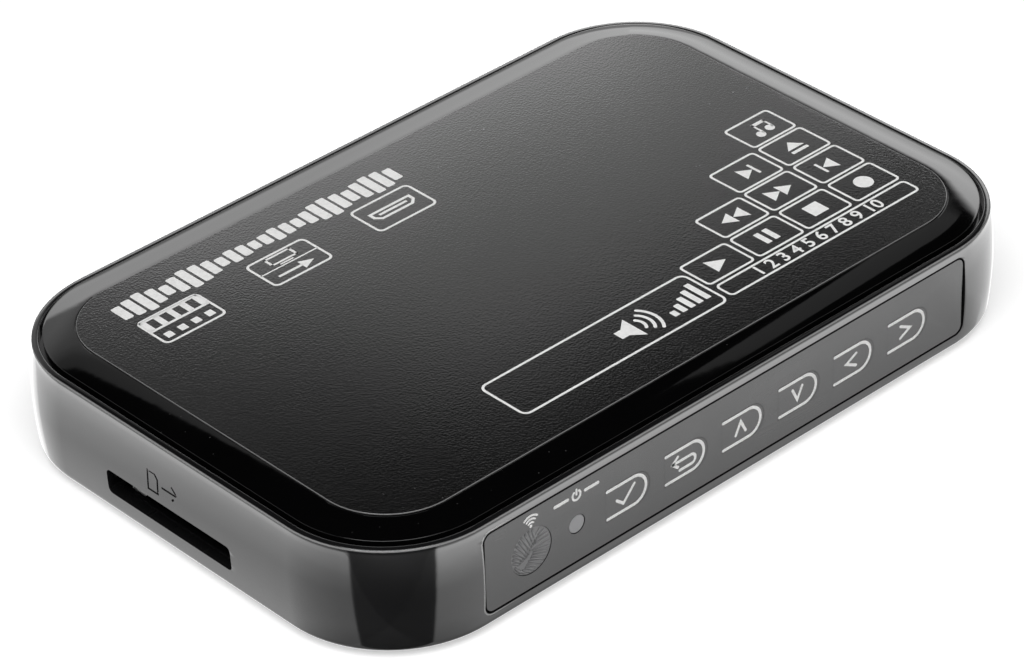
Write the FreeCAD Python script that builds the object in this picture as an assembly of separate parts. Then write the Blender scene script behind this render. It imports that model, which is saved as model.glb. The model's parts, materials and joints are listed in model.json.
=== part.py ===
import FreeCAD, Part
import os
from math import radians, sqrt, tan

# A palm-size media player: a deep lower casing with a domed cover, a key panel along
# one long side, a memory card slot in one end and its sockets along the back.
# Millimetres. +X runs along the length, the keys face -Y, the card slot faces -X and
# +Z is up. The origin is under the middle of the casing, on the surface it stands on.

V = FreeCAD.Vector
UP = V(0, 0, 1)
BACK = V(0, 1, 0)
RIGHT = V(1, 0, 0)

# ---- Casing and cover
case_length = 126.0        # along X, at the rim
case_width = 82.1          # along Y, at the rim
corner_radius = 17.7       # rim corner, seen from above
base_thickness = 1.8
wall = 2.2                 # side wall, in from the rim line
wall_bulge = 0.58          # how far the side wall swells out of the rim line
bulge_height = 8.0         # where it swells most, above the base
tuck_out = 0.2             # how far the wall still stands out where it turns under
bottom_round = 1.3         # the turn from the wall to the base
rim_width = 1.0
ledge_depth = 1.2          # rim down to the ledge that carries the cover
seam_gap = 0.6             # open seam between rim and cover
cover_edge_rise = 0.3      # the cover's edge stands this far above the rim
cover_crown = 0.65         # further rise of the dome up to the plate
plate_border_x = 6.5       # rim line to the plate's end
plate_border_y = 6.35      # rim line to the plate's side
plate_radius = 10.8
plate_thickness = 0.6
plate_proud = 0.25
plate_gap = 0.08
foot_radius = 4.5
foot_stand = 0.8           # rubber showing under the base
foot_pocket = 0.5          # rubber sunk in the base
foot_inset_x = 22.0        # rim line to the middle of a foot
foot_inset_y = 16.05

# ---- Screws
case_screw_inset_x = 10.5  # rim line to a cover screw
case_screw_inset_y = 10.85
case_screw_radius = 1.1
case_screw_head = 2.0
case_screw_head_height = 1.2
case_screw_sink = 0.45     # head below the base
case_screw_length = 11.0
case_boss_radius = 3.0
case_boss_height = 6.0     # above the casing floor
boss_split = 0.1           # gap between the casing's boss and the cover's
board_screw_radius = 0.9
board_screw_head = 1.8
board_screw_head_height = 1.1
board_screw_floor = 0.6    # casing left under a screw's tip
board_screw_inset_x = 4.5  # board's notch corner to a screw
board_screw_inset_y = 2.5
standoff_radius = 2.4
pilot_gap = 0.03
shank_gap = 0.2

# ---- Front panel, its windows and keys
panel_overrun = 0.8        # past the straight stretch, at its right end
panel_low = 2.4            # above the base
panel_below_rim = 1.72
panel_radius = 1.3
panel_thickness = 1.4
panel_proud = 0.2          # before the rim line, inside the bulge of the wall
panel_gap = 0.2
panel_shelf = 0.9          # recess shelf that carries the panel
window_from_end = 8.2      # panel's left end to the window's middle
window_radius = 3.55
window_flange = 0.8
window_flange_depth = 0.5
lamp_from_end = 16.4
lamp_radius = 1.4
lamp_flange = 0.6
lens_gap = 0.05
key_names = ["ok", "back", "up", "down", "left", "right"]
key_drop = 0.32            # keys and windows below the panel's middle
keys_from_left = 21.65     # panel's left end to the first hinge
keys_from_right = 7.3      # last key's tip to the panel's right end
key_land = 2.77            # from a key's tip to the next hinge
key_half_height = 2.55
key_slit = 0.25
key_web = 0.5              # thin hinge left at the outer face
key_root_gap = 0.06
key_notch = 0.6
key_rib_back = 0.25        # rib's middle behind the middle of the round tip
key_rib_width = 1.0
key_rib_height = 2.4
key_free_play = 0.1        # between rib and plunger

# ---- Main board
board_end_gap = 1.8        # to the casing's end wall
board_side_gap = 2.05      # to the casing's side wall
board_thickness = 1.2
board_height = 1.7         # above the casing floor
board_notch_gap = 3.1      # corner notch to the screw boss in it
board_gap = 0.3

# ---- Key switches
switch_width = 6.0
switch_depth = 3.5
switch_above = 2.4         # housing above the plunger's middle
switch_setback = 0.3       # behind the board's front edge
plunger_radius = 0.9
plunger_collar = 1.4
plunger_collar_length = 0.5
plunger_reach = 1.0        # out of the housing
plunger_travel = 0.4
plunger_gap = 0.05

# ---- Receiver and lamp
receiver_width = 5.6
receiver_depth = 3.6
receiver_above = 3.3       # above the lens's middle
receiver_stand = 0.45      # legs showing under the body
receiver_dome = 2.1
lead_thickness = 0.45
lead_pitch = 2.0
led_radius = 1.5
led_length = 3.6
led_rim = 0.35
led_rim_length = 0.8
lead_length = 2.4

# ---- Card slot and socket
slot_middle_y = 1.0
slot_side_play = 0.75      # beside the card
slot_drop = 1.75           # slot below the card
slot_radius = 0.8
card_width = 24.0
card_thickness = 2.1
card_play = 0.05
socket_floor = 0.4
socket_side = 1.9
socket_length = 27.0
socket_back = 1.6
socket_from_wall = 0.4
shield_thickness = 0.2
contact_count = 9
contact_pitch = 2.4
contact_width = 1.0
contact_length = 7.0
contact_thickness = 0.2
ejector_width = 1.2
ejector_bar_length = 15.0
ejector_arm_depth = 1.6
ejector_arm_reach = 4.0
ejector_height = 1.6
ejector_travel = 3.0
ejector_gap = 0.15
ejector_wire = 0.2
ejector_coil_radius = 0.42
ejector_coil_turns = 9
ejector_coil_spare = 1.9   # left open when the card is fully in
ejector_spring_gap = 0.05

# ---- Chips and other parts on the board
processor_side = 19.0
processor_height = 1.5
processor_x = -6.0
processor_y = 2.0
sink_side = 21.0
sink_base = 1.2
sink_height = 5.4
sink_fins = 7
sink_fin_thickness = 0.9
sink_pad = 0.3
chip_height = 1.1
memory_length = 12.5
memory_width = 8.0
memory_x = 14.5
memory_y = 7.5
memory_step = 11.0
flash_length = 18.4
flash_width = 12.0
flash_x = 30.5
flash_y = -12.0
regulator_side = 6.5
regulator_height = 2.3
regulator_x = -30.0
inductor_radius = 3.4
inductor_height = 3.2
inductor_x = -20.5
row_gap = 2.45             # behind the sockets, to the row of round parts
inductor_step = 9.0
inductor_count = 2
can_radius = 3.15
can_height = 7.7
can_x = 27.0
can_step = 8.6
can_count = 3
can_foot = 0.5
crystal_length = 10.5
crystal_width = 4.2
crystal_height = 3.5
crystal_x = -7.0
crystal_y = -16.0

# ---- Sockets along the back
sockets_from_left = 3.3    # start of the back's straight stretch to the first
sockets_from_right = 0.5
power_body_width = 8.0
power_body_depth = 11.0
power_bore_radius = 2.75
power_bore_depth = 9.5
power_pin_radius = 0.85
power_pin_inset = 1.5
usb_width = 13.2
usb_height = 5.8
usb_depth = 14.0
shell_thickness = 0.3
usb_tongue_side = 0.75     # beside the tongue, inside the shell
usb_tongue_thickness = 1.9
usb_tongue_set_in = 1.4
usb_tongue_lift = 0.1      # underside above the socket's middle
usb_block_depth = 4.0
hdmi_width = 15.0
hdmi_height = 5.7
hdmi_depth = 11.5
hdmi_chamfer = 1.5
hdmi_tongue_side = 1.4
hdmi_tongue_thickness = 1.1
hdmi_tongue_set_in = 2.0
hdmi_block_depth = 3.5
vga_room = 0.6             # over and under the flange, inside the casing
vga_flange_width = 30.8
vga_flange_height = 12.4
vga_flange_thickness = 0.8
vga_body_depth = 9.0
vga_shell_width = 16.4
vga_shell_height = 8.0
vga_shell_slope = 10.0     # degrees
vga_shell_radius = 2.0
vga_shell_reach = 5.6
vga_insert_set_in = 0.8
vga_post_spacing = 24.99
vga_post_radius = 2.5
vga_post_length = 4.8
vga_post_bore = 1.4
vga_pin_rows = 3
vga_pins_in_row = 5
vga_pin_pitch = 2.29
vga_row_pitch = 1.98
vga_pin_hole = 0.55
vga_pin_hole_depth = 4.0
av_body_width = 6.4
av_body_depth = 14.5
av_bore_radius = 1.8
av_collar_radius = 2.75
av_collar_length = 2.2
socket_flush = 0.2         # sockets end this far short of the rim line
opening_gap = 0.25         # casing cut-outs around the sockets

# ---- Heights worked out from the sizes above
inner_room = vga_flange_height + 2 * vga_room
base_z = foot_stand
floor_z = base_z + base_thickness
ledge_z = floor_z + inner_room
rim_z = ledge_z + ledge_depth
cover_edge_z = rim_z + cover_edge_rise
cover_top_z = cover_edge_z + cover_crown
plate_top_z = cover_top_z + plate_proud
plate_under_z = plate_top_z - plate_thickness
case_boss_top_z = floor_z + case_boss_height
case_seat_z = base_z + case_screw_sink + case_screw_head_height
case_screw_tip_z = case_seat_z + case_screw_length
board_under_z = floor_z + board_height
board_top_z = board_under_z + board_thickness
board_screw_tip_z = base_z + foot_pocket + board_screw_floor
panel_low_z = base_z + panel_low
panel_height = rim_z - panel_below_rim - panel_low_z
panel_z = panel_low_z + panel_height / 2
key_z = panel_z - key_drop
card_under_z = board_top_z + socket_floor
card_top_z = card_under_z + card_thickness + card_play
slot_height = card_top_z - card_under_z + slot_drop
slot_z = card_top_z - slot_height / 2
ejector_low_z = card_under_z + contact_thickness + ejector_gap
power_z = board_top_z + power_body_width / 2
usb_z = board_top_z + usb_height / 2
hdmi_z = board_top_z + hdmi_height / 2
av_z = board_top_z + av_body_width / 2
vga_z = floor_z + inner_room / 2

# ---- Places along X and Y
half_length = case_length / 2
half_width = case_width / 2
inner_half_length = half_length - wall
inner_half_width = half_width - wall
cover_inset = rim_width + seam_gap
seat_overlap = wall / 4
border_overlap = plate_radius / 3
plate_length = case_length - 2 * plate_border_x
plate_width = case_width - 2 * plate_border_y
foot_x = half_length - foot_inset_x
foot_y = half_width - foot_inset_y
case_screw_x = half_length - case_screw_inset_x
case_screw_y = half_width - case_screw_inset_y
board_half_length = inner_half_length - board_end_gap
board_half_width = inner_half_width - board_side_gap
board_notch_x = case_screw_x - case_boss_radius - board_notch_gap
board_notch_y = case_screw_y - case_boss_radius - board_notch_gap
board_screw_x = board_notch_x - board_screw_inset_x
board_screw_y = board_notch_y - board_screw_inset_y
straight_end_x = half_length - corner_radius
panel_left = -straight_end_x
panel_length = straight_end_x + panel_overrun - panel_left
panel_x = panel_left + panel_length / 2
panel_front_y = -half_width - panel_proud
panel_back_y = panel_front_y + panel_thickness
window_centre_x = panel_left + window_from_end
lamp_centre_x = panel_left + lamp_from_end
first_key_x = panel_left + keys_from_left
keys_room = panel_length - keys_from_left - keys_from_right
key_pitch = (keys_room + key_land) / len(key_names)
key_length = key_pitch - key_land
key_arm = key_length - key_half_height - key_rib_back
board_front_y = -board_half_width
switch_front_y = board_front_y + switch_setback
plunger_front_y = switch_front_y - plunger_reach
collar_y = switch_front_y + plunger_collar_length
led_front_y = switch_front_y - led_radius
slot_width = card_width + 2 * slot_side_play
socket_x = socket_from_wall - inner_half_length
socket_inner_end_x = socket_x + socket_length - socket_back
card_half = card_width / 2 + card_play
socket_half = card_width / 2 + socket_side
ejector_near_y = slot_middle_y + card_half + ejector_gap
ejector_far_y = ejector_near_y + ejector_width
ejector_coil_length = ejector_travel + ejector_coil_turns * 2 * ejector_wire + ejector_coil_spare
ejector_x = socket_inner_end_x - ejector_coil_length - ejector_bar_length
socket_face_y = half_width - socket_flush
vga_flange_y = socket_face_y - vga_shell_reach
vga_back_y = vga_flange_y - vga_flange_thickness - vga_body_depth
row_y = socket_face_y - usb_depth - row_gap - inductor_radius
socket_widths = [power_body_width, usb_width, hdmi_width, vga_flange_width, av_body_width]
sockets_room = 2 * straight_end_x - sockets_from_left - sockets_from_right
socket_space = (sockets_room - sum(socket_widths)) / (len(socket_widths) - 1)
power_x, usb_x, hdmi_x, vga_x, av_x = [
    sockets_from_left - straight_end_x + sum(socket_widths[:place]) + place * socket_space + width / 2
    for place, width in enumerate(socket_widths)]
clear = case_length         # longer than anything that is cut


def rounded_face(width, height, radius):
    """A flat rounded rectangle about the origin, facing +Z."""
    x = width / 2
    y = height / 2
    r = min(radius, x * 0.999, y * 0.999)
    k = r * (1 - sqrt(0.5))
    edges = [
        Part.LineSegment(V(r - x, -y, 0), V(x - r, -y, 0)),
        Part.Arc(V(x - r, -y, 0), V(x - k, k - y, 0), V(x, r - y, 0)),
        Part.LineSegment(V(x, r - y, 0), V(x, y - r, 0)),
        Part.Arc(V(x, y - r, 0), V(x - k, y - k, 0), V(x - r, y, 0)),
        Part.LineSegment(V(x - r, y, 0), V(r - x, y, 0)),
        Part.Arc(V(r - x, y, 0), V(k - x, y - k, 0), V(-x, y - r, 0)),
        Part.LineSegment(V(-x, y - r, 0), V(-x, r - y, 0)),
        Part.Arc(V(-x, r - y, 0), V(k - x, k - y, 0), V(r - x, -y, 0)),
    ]
    return Part.Face(Part.Wire([edge.toShape() for edge in edges]))


def slab(width, depth, radius, low, high, x=0.0, y=0.0):
    """A rounded rectangle standing from one height to another."""
    face = rounded_face(width, depth, radius)
    face.translate(V(x, y, low))
    return face.extrude(V(0, 0, high - low))


def facing_y(face, x, z, front, back):
    """Turn a face drawn in XY to stand in XZ and extrude it along Y."""
    face.rotate(V(0, 0, 0), RIGHT, 90)
    face.translate(V(x, front, z))
    return face.extrude(V(0, back - front, 0))


def upright(width, height, radius, x, z, front, back):
    """A rounded rectangle in XZ, extruded along Y."""
    return facing_y(rounded_face(width, height, radius), x, z, front, back)


def block(x0, x1, y0, y1, z0, z1):
    return Part.makeBox(x1 - x0, y1 - y0, z1 - z0, V(x0, y0, z0))


def post(radius, low, high, x, y):
    return Part.makeCylinder(radius, high - low, V(x, y, low), UP)


def rod(radius, front, back, x, z):
    """A round bar along Y."""
    return Part.makeCylinder(radius, back - front, V(x, front, z), BACK)


def polygon(points):
    return Part.Face(Part.makePolygon(points + points[:1]))


def fused(shapes):
    whole = shapes[0].fuse(shapes[1:]) if len(shapes) > 1 else shapes[0]
    return whole.removeSplitter()


def cut(shape, tools):
    return shape.cut(Part.makeCompound(tools)) if tools else shape


def four_corners(x, y):
    return [(sx * x, sy * y) for sx in (-1, 1) for sy in (-1, 1)]


def export(name, shape):
    shape.exportStep("parts/" + name + ".step")


def rim_point(out, z):
    """A point of a swept section: how far it stands out of the rim line, and its height."""
    return V(corner_radius - half_length, -half_width - out, z)


def closed_section(start, steps):
    """Steps are (end,) for a straight edge and (through, end) for an arc."""
    edges = []
    last = rim_point(*start)
    for step in steps + [(start,)]:
        points = [rim_point(*point) for point in step]
        edge = Part.LineSegment(last, *points) if len(points) == 1 else Part.Arc(last, *points)
        edges.append(edge.toShape())
        last = points[-1]
    return Part.Wire(edges)


def swept_round(section):
    """Sweep a closed section all the way round the rim line."""
    outline = rounded_face(case_length, case_width, corner_radius).OuterWire
    sweep = Part.BRepOffsetAPI.MakePipeShell(outline)
    sweep.setFrenetMode(True)
    sweep.add(section)
    sweep.build()
    sweep.makeSolid()
    return sweep.shape()


def inside_rim(inset, low, high):
    """A slab that fills the rim line's outline, drawn in by inset."""
    return slab(case_length - 2 * inset, case_width - 2 * inset, corner_radius - inset, low, high)


# ---- Lower casing
def casing_wall():
    """The swelling side wall, its turn to the base, the cover's ledge and the rim."""
    turn = bottom_round * (1 - sqrt(0.5))
    return swept_round(closed_section((0, rim_z), [
        ((wall_bulge, base_z + bulge_height), (tuck_out, base_z + bottom_round)),
        ((tuck_out - turn, base_z + turn), (tuck_out - bottom_round, base_z)),
        ((-wall, base_z),),
        ((-wall, ledge_z),),
        ((-rim_width, ledge_z),),
        ((-rim_width, rim_z),),
    ]))


def casing_posts():
    """Four corner bosses for the cover's screws and four standoffs under the board."""
    bosses = [post(case_boss_radius, base_z, case_boss_top_z, x, y)
              for x, y in four_corners(case_screw_x, case_screw_y)]
    standoffs = [post(standoff_radius, base_z, board_under_z, x, y)
                 for x, y in four_corners(board_screw_x, board_screw_y)]
    return bosses + standoffs


def casing_screw_holes():
    """Counterbored ways for the cover's screws and blind pilots for the board's."""
    holes = []
    for x, y in four_corners(case_screw_x, case_screw_y):
        holes.append(post(case_screw_radius + shank_gap, 0, case_boss_top_z, x, y))
        holes.append(post(case_screw_head + shank_gap, 0, case_seat_z, x, y))
    for x, y in four_corners(board_screw_x, board_screw_y):
        holes.append(post(board_screw_radius + pilot_gap, board_screw_tip_z, board_under_z, x, y))
    return holes


def foot_pockets():
    return [post(foot_radius, 0, base_z + foot_pocket, x, y) for x, y in four_corners(foot_x, foot_y)]


def panel_recess():
    """The shallow seat of the front panel and the window through the wall behind it."""
    seat = upright(panel_length + 2 * panel_gap, panel_height + 2 * panel_gap,
                   panel_radius + panel_gap, panel_x, panel_z, -clear, panel_back_y)
    window = upright(panel_length - 2 * panel_shelf, panel_height - 2 * panel_shelf,
                     panel_radius, panel_x, panel_z, -clear, wall - half_width)
    return [seat, window]


def card_slot():
    """The slot for a memory card through the end wall."""
    face = rounded_face(slot_width, slot_height, slot_radius)
    face.rotate(V(0, 0, 0), UP, 90)
    face.rotate(V(0, 0, 0), BACK, -90)
    face.translate(V(-clear, slot_middle_y, slot_z))
    return [face.extrude(V(clear - inner_half_length, 0, 0))]


def socket_openings():
    """One opening through the back wall for each socket."""
    front = inner_half_width
    g = opening_gap
    power = rod(power_bore_radius + shell_thickness + g, front, clear, power_x, power_z)
    usb = upright(usb_width + 2 * g, usb_height + 2 * g, g, usb_x, usb_z, front, clear)
    hdmi = upright(hdmi_width + 2 * g, hdmi_height + 2 * g, g, hdmi_x, hdmi_z, front, clear)
    vga = upright(vga_flange_width + 2 * g, vga_flange_height + 2 * g, g, vga_x, vga_z, front, clear)
    av = rod(av_collar_radius + g, front, clear, av_x, av_z)
    return [power, usb, hdmi, vga, av]


def lower_casing():
    base = inside_rim(wall - seat_overlap, base_z, floor_z)
    solid = fused([casing_wall(), base] + casing_posts())
    tools = casing_screw_holes() + foot_pockets() + panel_recess() + card_slot() + socket_openings()
    return cut(solid, tools)


def rubber_feet():
    return [post(foot_radius, 0, base_z + foot_pocket, x, y) for x, y in four_corners(foot_x, foot_y)]


# ---- Cover
def cover_dome():
    """The cover's border, which climbs in an arc from the seam to the plate."""
    run = plate_border_x - cover_inset
    bend = (run * run + cover_crown * cover_crown) / (2 * cover_crown)
    middle = cover_top_z - bend + sqrt(bend * bend - run * run / 4)
    inner = -cover_inset - run
    return swept_round(closed_section((-cover_inset, cover_edge_z), [
        ((-cover_inset - run / 2, middle), (inner, cover_top_z)),
        ((inner - border_overlap, cover_top_z),),
        ((inner - border_overlap, ledge_z),),
        ((-cover_inset, ledge_z),),
    ]))


def cover_posts():
    """Bosses that reach down to the casing's and take the screws."""
    shapes = []
    for x, y in four_corners(case_screw_x, case_screw_y):
        boss = post(case_boss_radius, case_boss_top_z + boss_split, plate_under_z, x, y)
        pilot = post(case_screw_radius + pilot_gap, 0, case_screw_tip_z, x, y)
        shapes.append(boss.cut(pilot))
    return shapes


def top_cover():
    middle = inside_rim(plate_border_x + seat_overlap, ledge_z, cover_top_z)
    pocket = slab(plate_length + 2 * plate_gap, plate_width + 2 * plate_gap, plate_radius + plate_gap,
                  plate_under_z, clear)
    shell = fused([cover_dome(), middle]).cut(pocket)
    return fused([shell] + cover_posts())


def top_plate():
    return slab(plate_length, plate_width, plate_radius, plate_under_z, plate_top_z)


def case_screws():
    screws = []
    for x, y in four_corners(case_screw_x, case_screw_y):
        head = post(case_screw_head, case_seat_z - case_screw_head_height, case_seat_z, x, y)
        shank = post(case_screw_radius, case_seat_z, case_screw_tip_z, x, y)
        screws.append(head.fuse(shank))
    return screws


# ---- Front panel, windows and keys
def key_root(index):
    return first_key_x + index * key_pitch


def key_outline(grow):
    """A tongue drawn from its hinge at x = 0: straight sides and a round tip, facing +Z."""
    r = key_half_height + grow
    tip = key_length + grow
    straight = tip - r
    edges = [
        Part.LineSegment(V(0, -r, 0), V(straight, -r, 0)),
        Part.Arc(V(straight, -r, 0), V(tip, 0, 0), V(straight, r, 0)),
        Part.LineSegment(V(straight, r, 0), V(0, r, 0)),
        Part.LineSegment(V(0, r, 0), V(0, -r, 0)),
    ]
    return Part.Face(Part.Wire([edge.toShape() for edge in edges]))


def key_opening(index):
    """The slit round a tongue and the groove that leaves its hinge thin."""
    root = key_root(index)
    slit = facing_y(key_outline(key_slit), root, key_z, -clear, panel_back_y)
    r = key_half_height + key_slit
    groove = block(root - key_notch, root, panel_front_y + key_web, panel_back_y, key_z - r, key_z + r)
    return [slit, groove]


def front_panel():
    plate = upright(panel_length, panel_height, panel_radius, panel_x, panel_z,
                    panel_front_y, panel_back_y)
    tools = [tool for index in range(len(key_names)) for tool in key_opening(index)]
    tools.append(rod(window_radius + lens_gap, -clear, panel_back_y, window_centre_x, key_z))
    tools.append(rod(lamp_radius + lens_gap, -clear, panel_back_y, lamp_centre_x, key_z))
    return cut(plate, tools)


def key(index):
    """A tongue with a thin root at the hinge and a rib that presses its switch."""
    root = key_root(index)
    tongue = facing_y(key_outline(0), root, key_z, panel_front_y, panel_back_y)
    gap = block(root, root + key_root_gap, -clear, clear, 0, clear)
    press = root + key_arm
    rib = block(press - key_rib_width / 2, press + key_rib_width / 2,
                panel_back_y, plunger_front_y - key_free_play,
                key_z - key_rib_height / 2, key_z + key_rib_height / 2)
    return tongue.cut(gap).fuse(rib).removeSplitter()


def receiver_window():
    disc = rod(window_radius, panel_front_y, panel_back_y, window_centre_x, key_z)
    flange = rod(window_radius + window_flange, panel_back_y, panel_back_y + window_flange_depth,
                 window_centre_x, key_z)
    return disc.fuse(flange).removeSplitter()


def lamp_lens():
    """A light guide from the panel's face to just before the lamp."""
    guide = rod(lamp_radius, panel_front_y, led_front_y - lens_gap, lamp_centre_x, key_z)
    flange = rod(lamp_radius + lamp_flange, panel_back_y, panel_back_y + window_flange_depth,
                 lamp_centre_x, key_z)
    return guide.fuse(flange).removeSplitter()


# ---- Main board
def main_board():
    middle = block(-board_notch_x, board_notch_x, -board_half_width, board_half_width,
                   board_under_z, board_top_z)
    arms = block(-board_half_length, board_half_length, -board_notch_y, board_notch_y,
                 board_under_z, board_top_z)
    holes = [post(board_screw_radius + shank_gap, 0, clear, x, y)
             for x, y in four_corners(board_screw_x, board_screw_y)]
    bay = block(vga_x - vga_flange_width / 2 - board_gap, vga_x + vga_flange_width / 2 + board_gap,
                vga_back_y - board_gap, clear, 0, clear)
    return cut(fused([middle, arms]), holes + [bay])


def board_screws():
    screws = []
    for x, y in four_corners(board_screw_x, board_screw_y):
        head = post(board_screw_head, board_top_z, board_top_z + board_screw_head_height, x, y)
        shank = post(board_screw_radius, board_screw_tip_z, board_top_z, x, y)
        screws.append(head.fuse(shank))
    return screws


# ---- Key switches
def switch_housing(index):
    """A housing bored for its plunger, with a wider chamber for the plunger's collar."""
    x = key_root(index) + key_arm
    body = block(x - switch_width / 2, x + switch_width / 2, switch_front_y,
                 switch_front_y + switch_depth, board_top_z, key_z + switch_above)
    bore = rod(plunger_radius + plunger_gap, -clear, collar_y, x, key_z)
    chamber = rod(plunger_collar + plunger_gap, collar_y,
                  collar_y + plunger_collar_length + plunger_travel, x, key_z)
    return cut(body, [bore, chamber])


def switch_plunger(index):
    x = key_root(index) + key_arm
    stem = rod(plunger_radius, plunger_front_y, collar_y + plunger_gap, x, key_z)
    collar = rod(plunger_collar, collar_y + plunger_gap, collar_y + plunger_collar_length, x, key_z)
    return stem.fuse(collar).removeSplitter()


# ---- Remote control receiver and power lamp
def leads(x, y, count, low, high):
    """Square legs side by side along X."""
    half = lead_thickness / 2
    places = [x + (number - (count - 1) / 2) * lead_pitch for number in range(count)]
    return [block(place - half, place + half, y - half, y + half, low, high) for place in places]


def remote_receiver():
    """A moulded block with a domed lens, standing on three legs."""
    front = board_front_y + switch_setback
    low = board_top_z + receiver_stand
    high = key_z + receiver_above
    body = block(window_centre_x - receiver_width / 2, window_centre_x + receiver_width / 2,
                 front, front + receiver_depth, low, high)
    dome = Part.makeSphere(receiver_dome, V(window_centre_x, front, key_z))
    dome = dome.common(block(-clear, clear, -clear, front + receiver_depth / 2, low, high))
    legs = leads(window_centre_x, front + receiver_depth / 2, 3, board_top_z, low)
    return fused([body, dome] + legs)


def power_led():
    """A round lamp lying level behind its lens, its two leads bent down to the board."""
    back = led_front_y + led_length
    dome = Part.makeSphere(led_radius, V(lamp_centre_x, led_front_y + led_radius, key_z))
    tube = rod(led_radius, led_front_y + led_radius, back, lamp_centre_x, key_z)
    rim = rod(led_radius + led_rim, back - led_rim_length, back, lamp_centre_x, key_z)
    half = lead_thickness / 2
    legs = leads(lamp_centre_x, back + lead_length, 2, board_top_z, key_z + half)
    for place in (-lead_pitch / 2, lead_pitch / 2):
        x = lamp_centre_x + place
        legs.append(block(x - half, x + half, back, back + lead_length, key_z - half, key_z + half))
    return fused([dome, tube, rim] + legs)


# ---- Memory card socket
def card_socket_frame():
    """A tray with side rails and a back wall, open to the slot and on top."""
    outer = block(socket_x, socket_x + socket_length, slot_middle_y - socket_half,
                  slot_middle_y + socket_half, board_top_z, card_top_z)
    cavity = block(-clear, socket_inner_end_x, slot_middle_y - card_half, slot_middle_y + card_half,
                   card_under_z, clear)
    rail = block(ejector_x - ejector_gap, socket_inner_end_x, slot_middle_y + card_half,
                 ejector_far_y + ejector_gap, ejector_low_z - ejector_gap, clear)
    return cut(outer, [cavity, rail])


def card_socket_shield():
    """A steel cover folded down over both sides of the frame."""
    t = shield_thickness
    top = block(socket_x, socket_x + socket_length, slot_middle_y - socket_half - t,
                slot_middle_y + socket_half + t, card_top_z, card_top_z + t)
    sides = [block(socket_x, socket_x + socket_length, y, y + t, board_top_z, card_top_z)
             for y in (slot_middle_y - socket_half - t, slot_middle_y + socket_half)]
    return fused([top] + sides)


def card_contacts():
    """Flat springs lying side by side at the back of the frame's floor."""
    back = socket_inner_end_x
    first = slot_middle_y - (contact_count - 1) / 2 * contact_pitch
    half = contact_width / 2
    return [block(back - contact_length, back, first + number * contact_pitch - half,
                  first + number * contact_pitch + half, card_under_z,
                  card_under_z + contact_thickness)
            for number in range(contact_count)]


def card_ejector():
    """A slider in the frame's side rail with an arm that the card's edge pushes back."""
    bar = block(ejector_x, ejector_x + ejector_bar_length, ejector_near_y, ejector_far_y,
                ejector_low_z, ejector_low_z + ejector_height)
    arm_x = ejector_x + ejector_bar_length - ejector_arm_depth
    arm = block(arm_x, arm_x + ejector_arm_depth, ejector_near_y - ejector_arm_reach, ejector_near_y,
                ejector_low_z, ejector_low_z + ejector_height)
    return bar.fuse(arm).removeSplitter()


def ejector_spring():
    """A coil spring between the slider and the frame's back wall."""
    start = ejector_x + ejector_bar_length + ejector_wire + ejector_spring_gap
    end = socket_inner_end_x - ejector_wire - ejector_spring_gap
    length = end - start
    helix = Part.makeHelix(length / ejector_coil_turns, length, ejector_coil_radius)
    section = Part.Wire(Part.makeCircle(ejector_wire, V(ejector_coil_radius, 0, 0), BACK))
    coil = helix.makePipeShell([section], True, True)
    coil.rotate(V(0, 0, 0), BACK, 90)
    coil.translate(V(start, (ejector_near_y + ejector_far_y) / 2, ejector_low_z + ejector_height / 2))
    return coil


# ---- Chips and other parts on the board
def chip(x, y, length, width, height):
    return block(x - length / 2, x + length / 2, y - width / 2, y + width / 2,
                 board_top_z, board_top_z + height)


def heat_sink():
    low = board_top_z + processor_height + sink_pad
    half = sink_side / 2
    base = block(processor_x - half, processor_x + half, processor_y - half, processor_y + half,
                 low, low + sink_base)
    step = (sink_side - sink_fin_thickness) / (sink_fins - 1)
    fins = []
    for number in range(sink_fins):
        x = processor_x - half + number * step
        fins.append(block(x, x + sink_fin_thickness, processor_y - half, processor_y + half,
                          low + sink_base, low + sink_height))
    return fused([base] + fins)


def thermal_pad():
    low = board_top_z + processor_height
    half = processor_side / 2
    return block(processor_x - half, processor_x + half, processor_y - half, processor_y + half,
                 low, low + sink_pad)


def memory_chips():
    return [chip(memory_x, memory_y - number * memory_step, memory_length, memory_width, chip_height)
            for number in range(2)]


def inductors():
    return [post(inductor_radius, board_top_z, board_top_z + inductor_height,
                 inductor_x + number * inductor_step, row_y) for number in range(inductor_count)]


def capacitors():
    cans = []
    for number in range(can_count):
        x = can_x - number * can_step
        foot = slab(2 * can_radius, 2 * can_radius, can_foot, board_top_z, board_top_z + can_foot, x, row_y)
        can = post(can_radius, board_top_z + can_foot, board_top_z + can_height, x, row_y)
        cans.append(foot.fuse(can).removeSplitter())
    return cans


def crystal():
    return slab(crystal_length, crystal_width, crystal_width / 2, board_top_z,
                board_top_z + crystal_height, crystal_x, crystal_y)


# ---- Sockets along the back
def power_socket():
    half = power_body_width / 2
    body = block(power_x - half, power_x + half, socket_face_y - power_body_depth, inner_half_width,
                 board_top_z, power_z + half)
    nose = rod(power_bore_radius + shell_thickness, inner_half_width - shell_thickness, socket_face_y,
               power_x, power_z)
    bore = rod(power_bore_radius, socket_face_y - power_bore_depth, clear, power_x, power_z)
    return cut(fused([body, nose]), [bore])


def power_socket_pin():
    return rod(power_pin_radius, socket_face_y - power_bore_depth, socket_face_y - power_pin_inset,
               power_x, power_z)


def usb_shell():
    outer = upright(usb_width, usb_height, 2 * shell_thickness, usb_x, usb_z,
                    socket_face_y - usb_depth, socket_face_y)
    inner = upright(usb_width - 2 * shell_thickness, usb_height - 2 * shell_thickness,
                    shell_thickness, usb_x, usb_z, -clear, clear)
    return outer.cut(inner)


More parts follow.
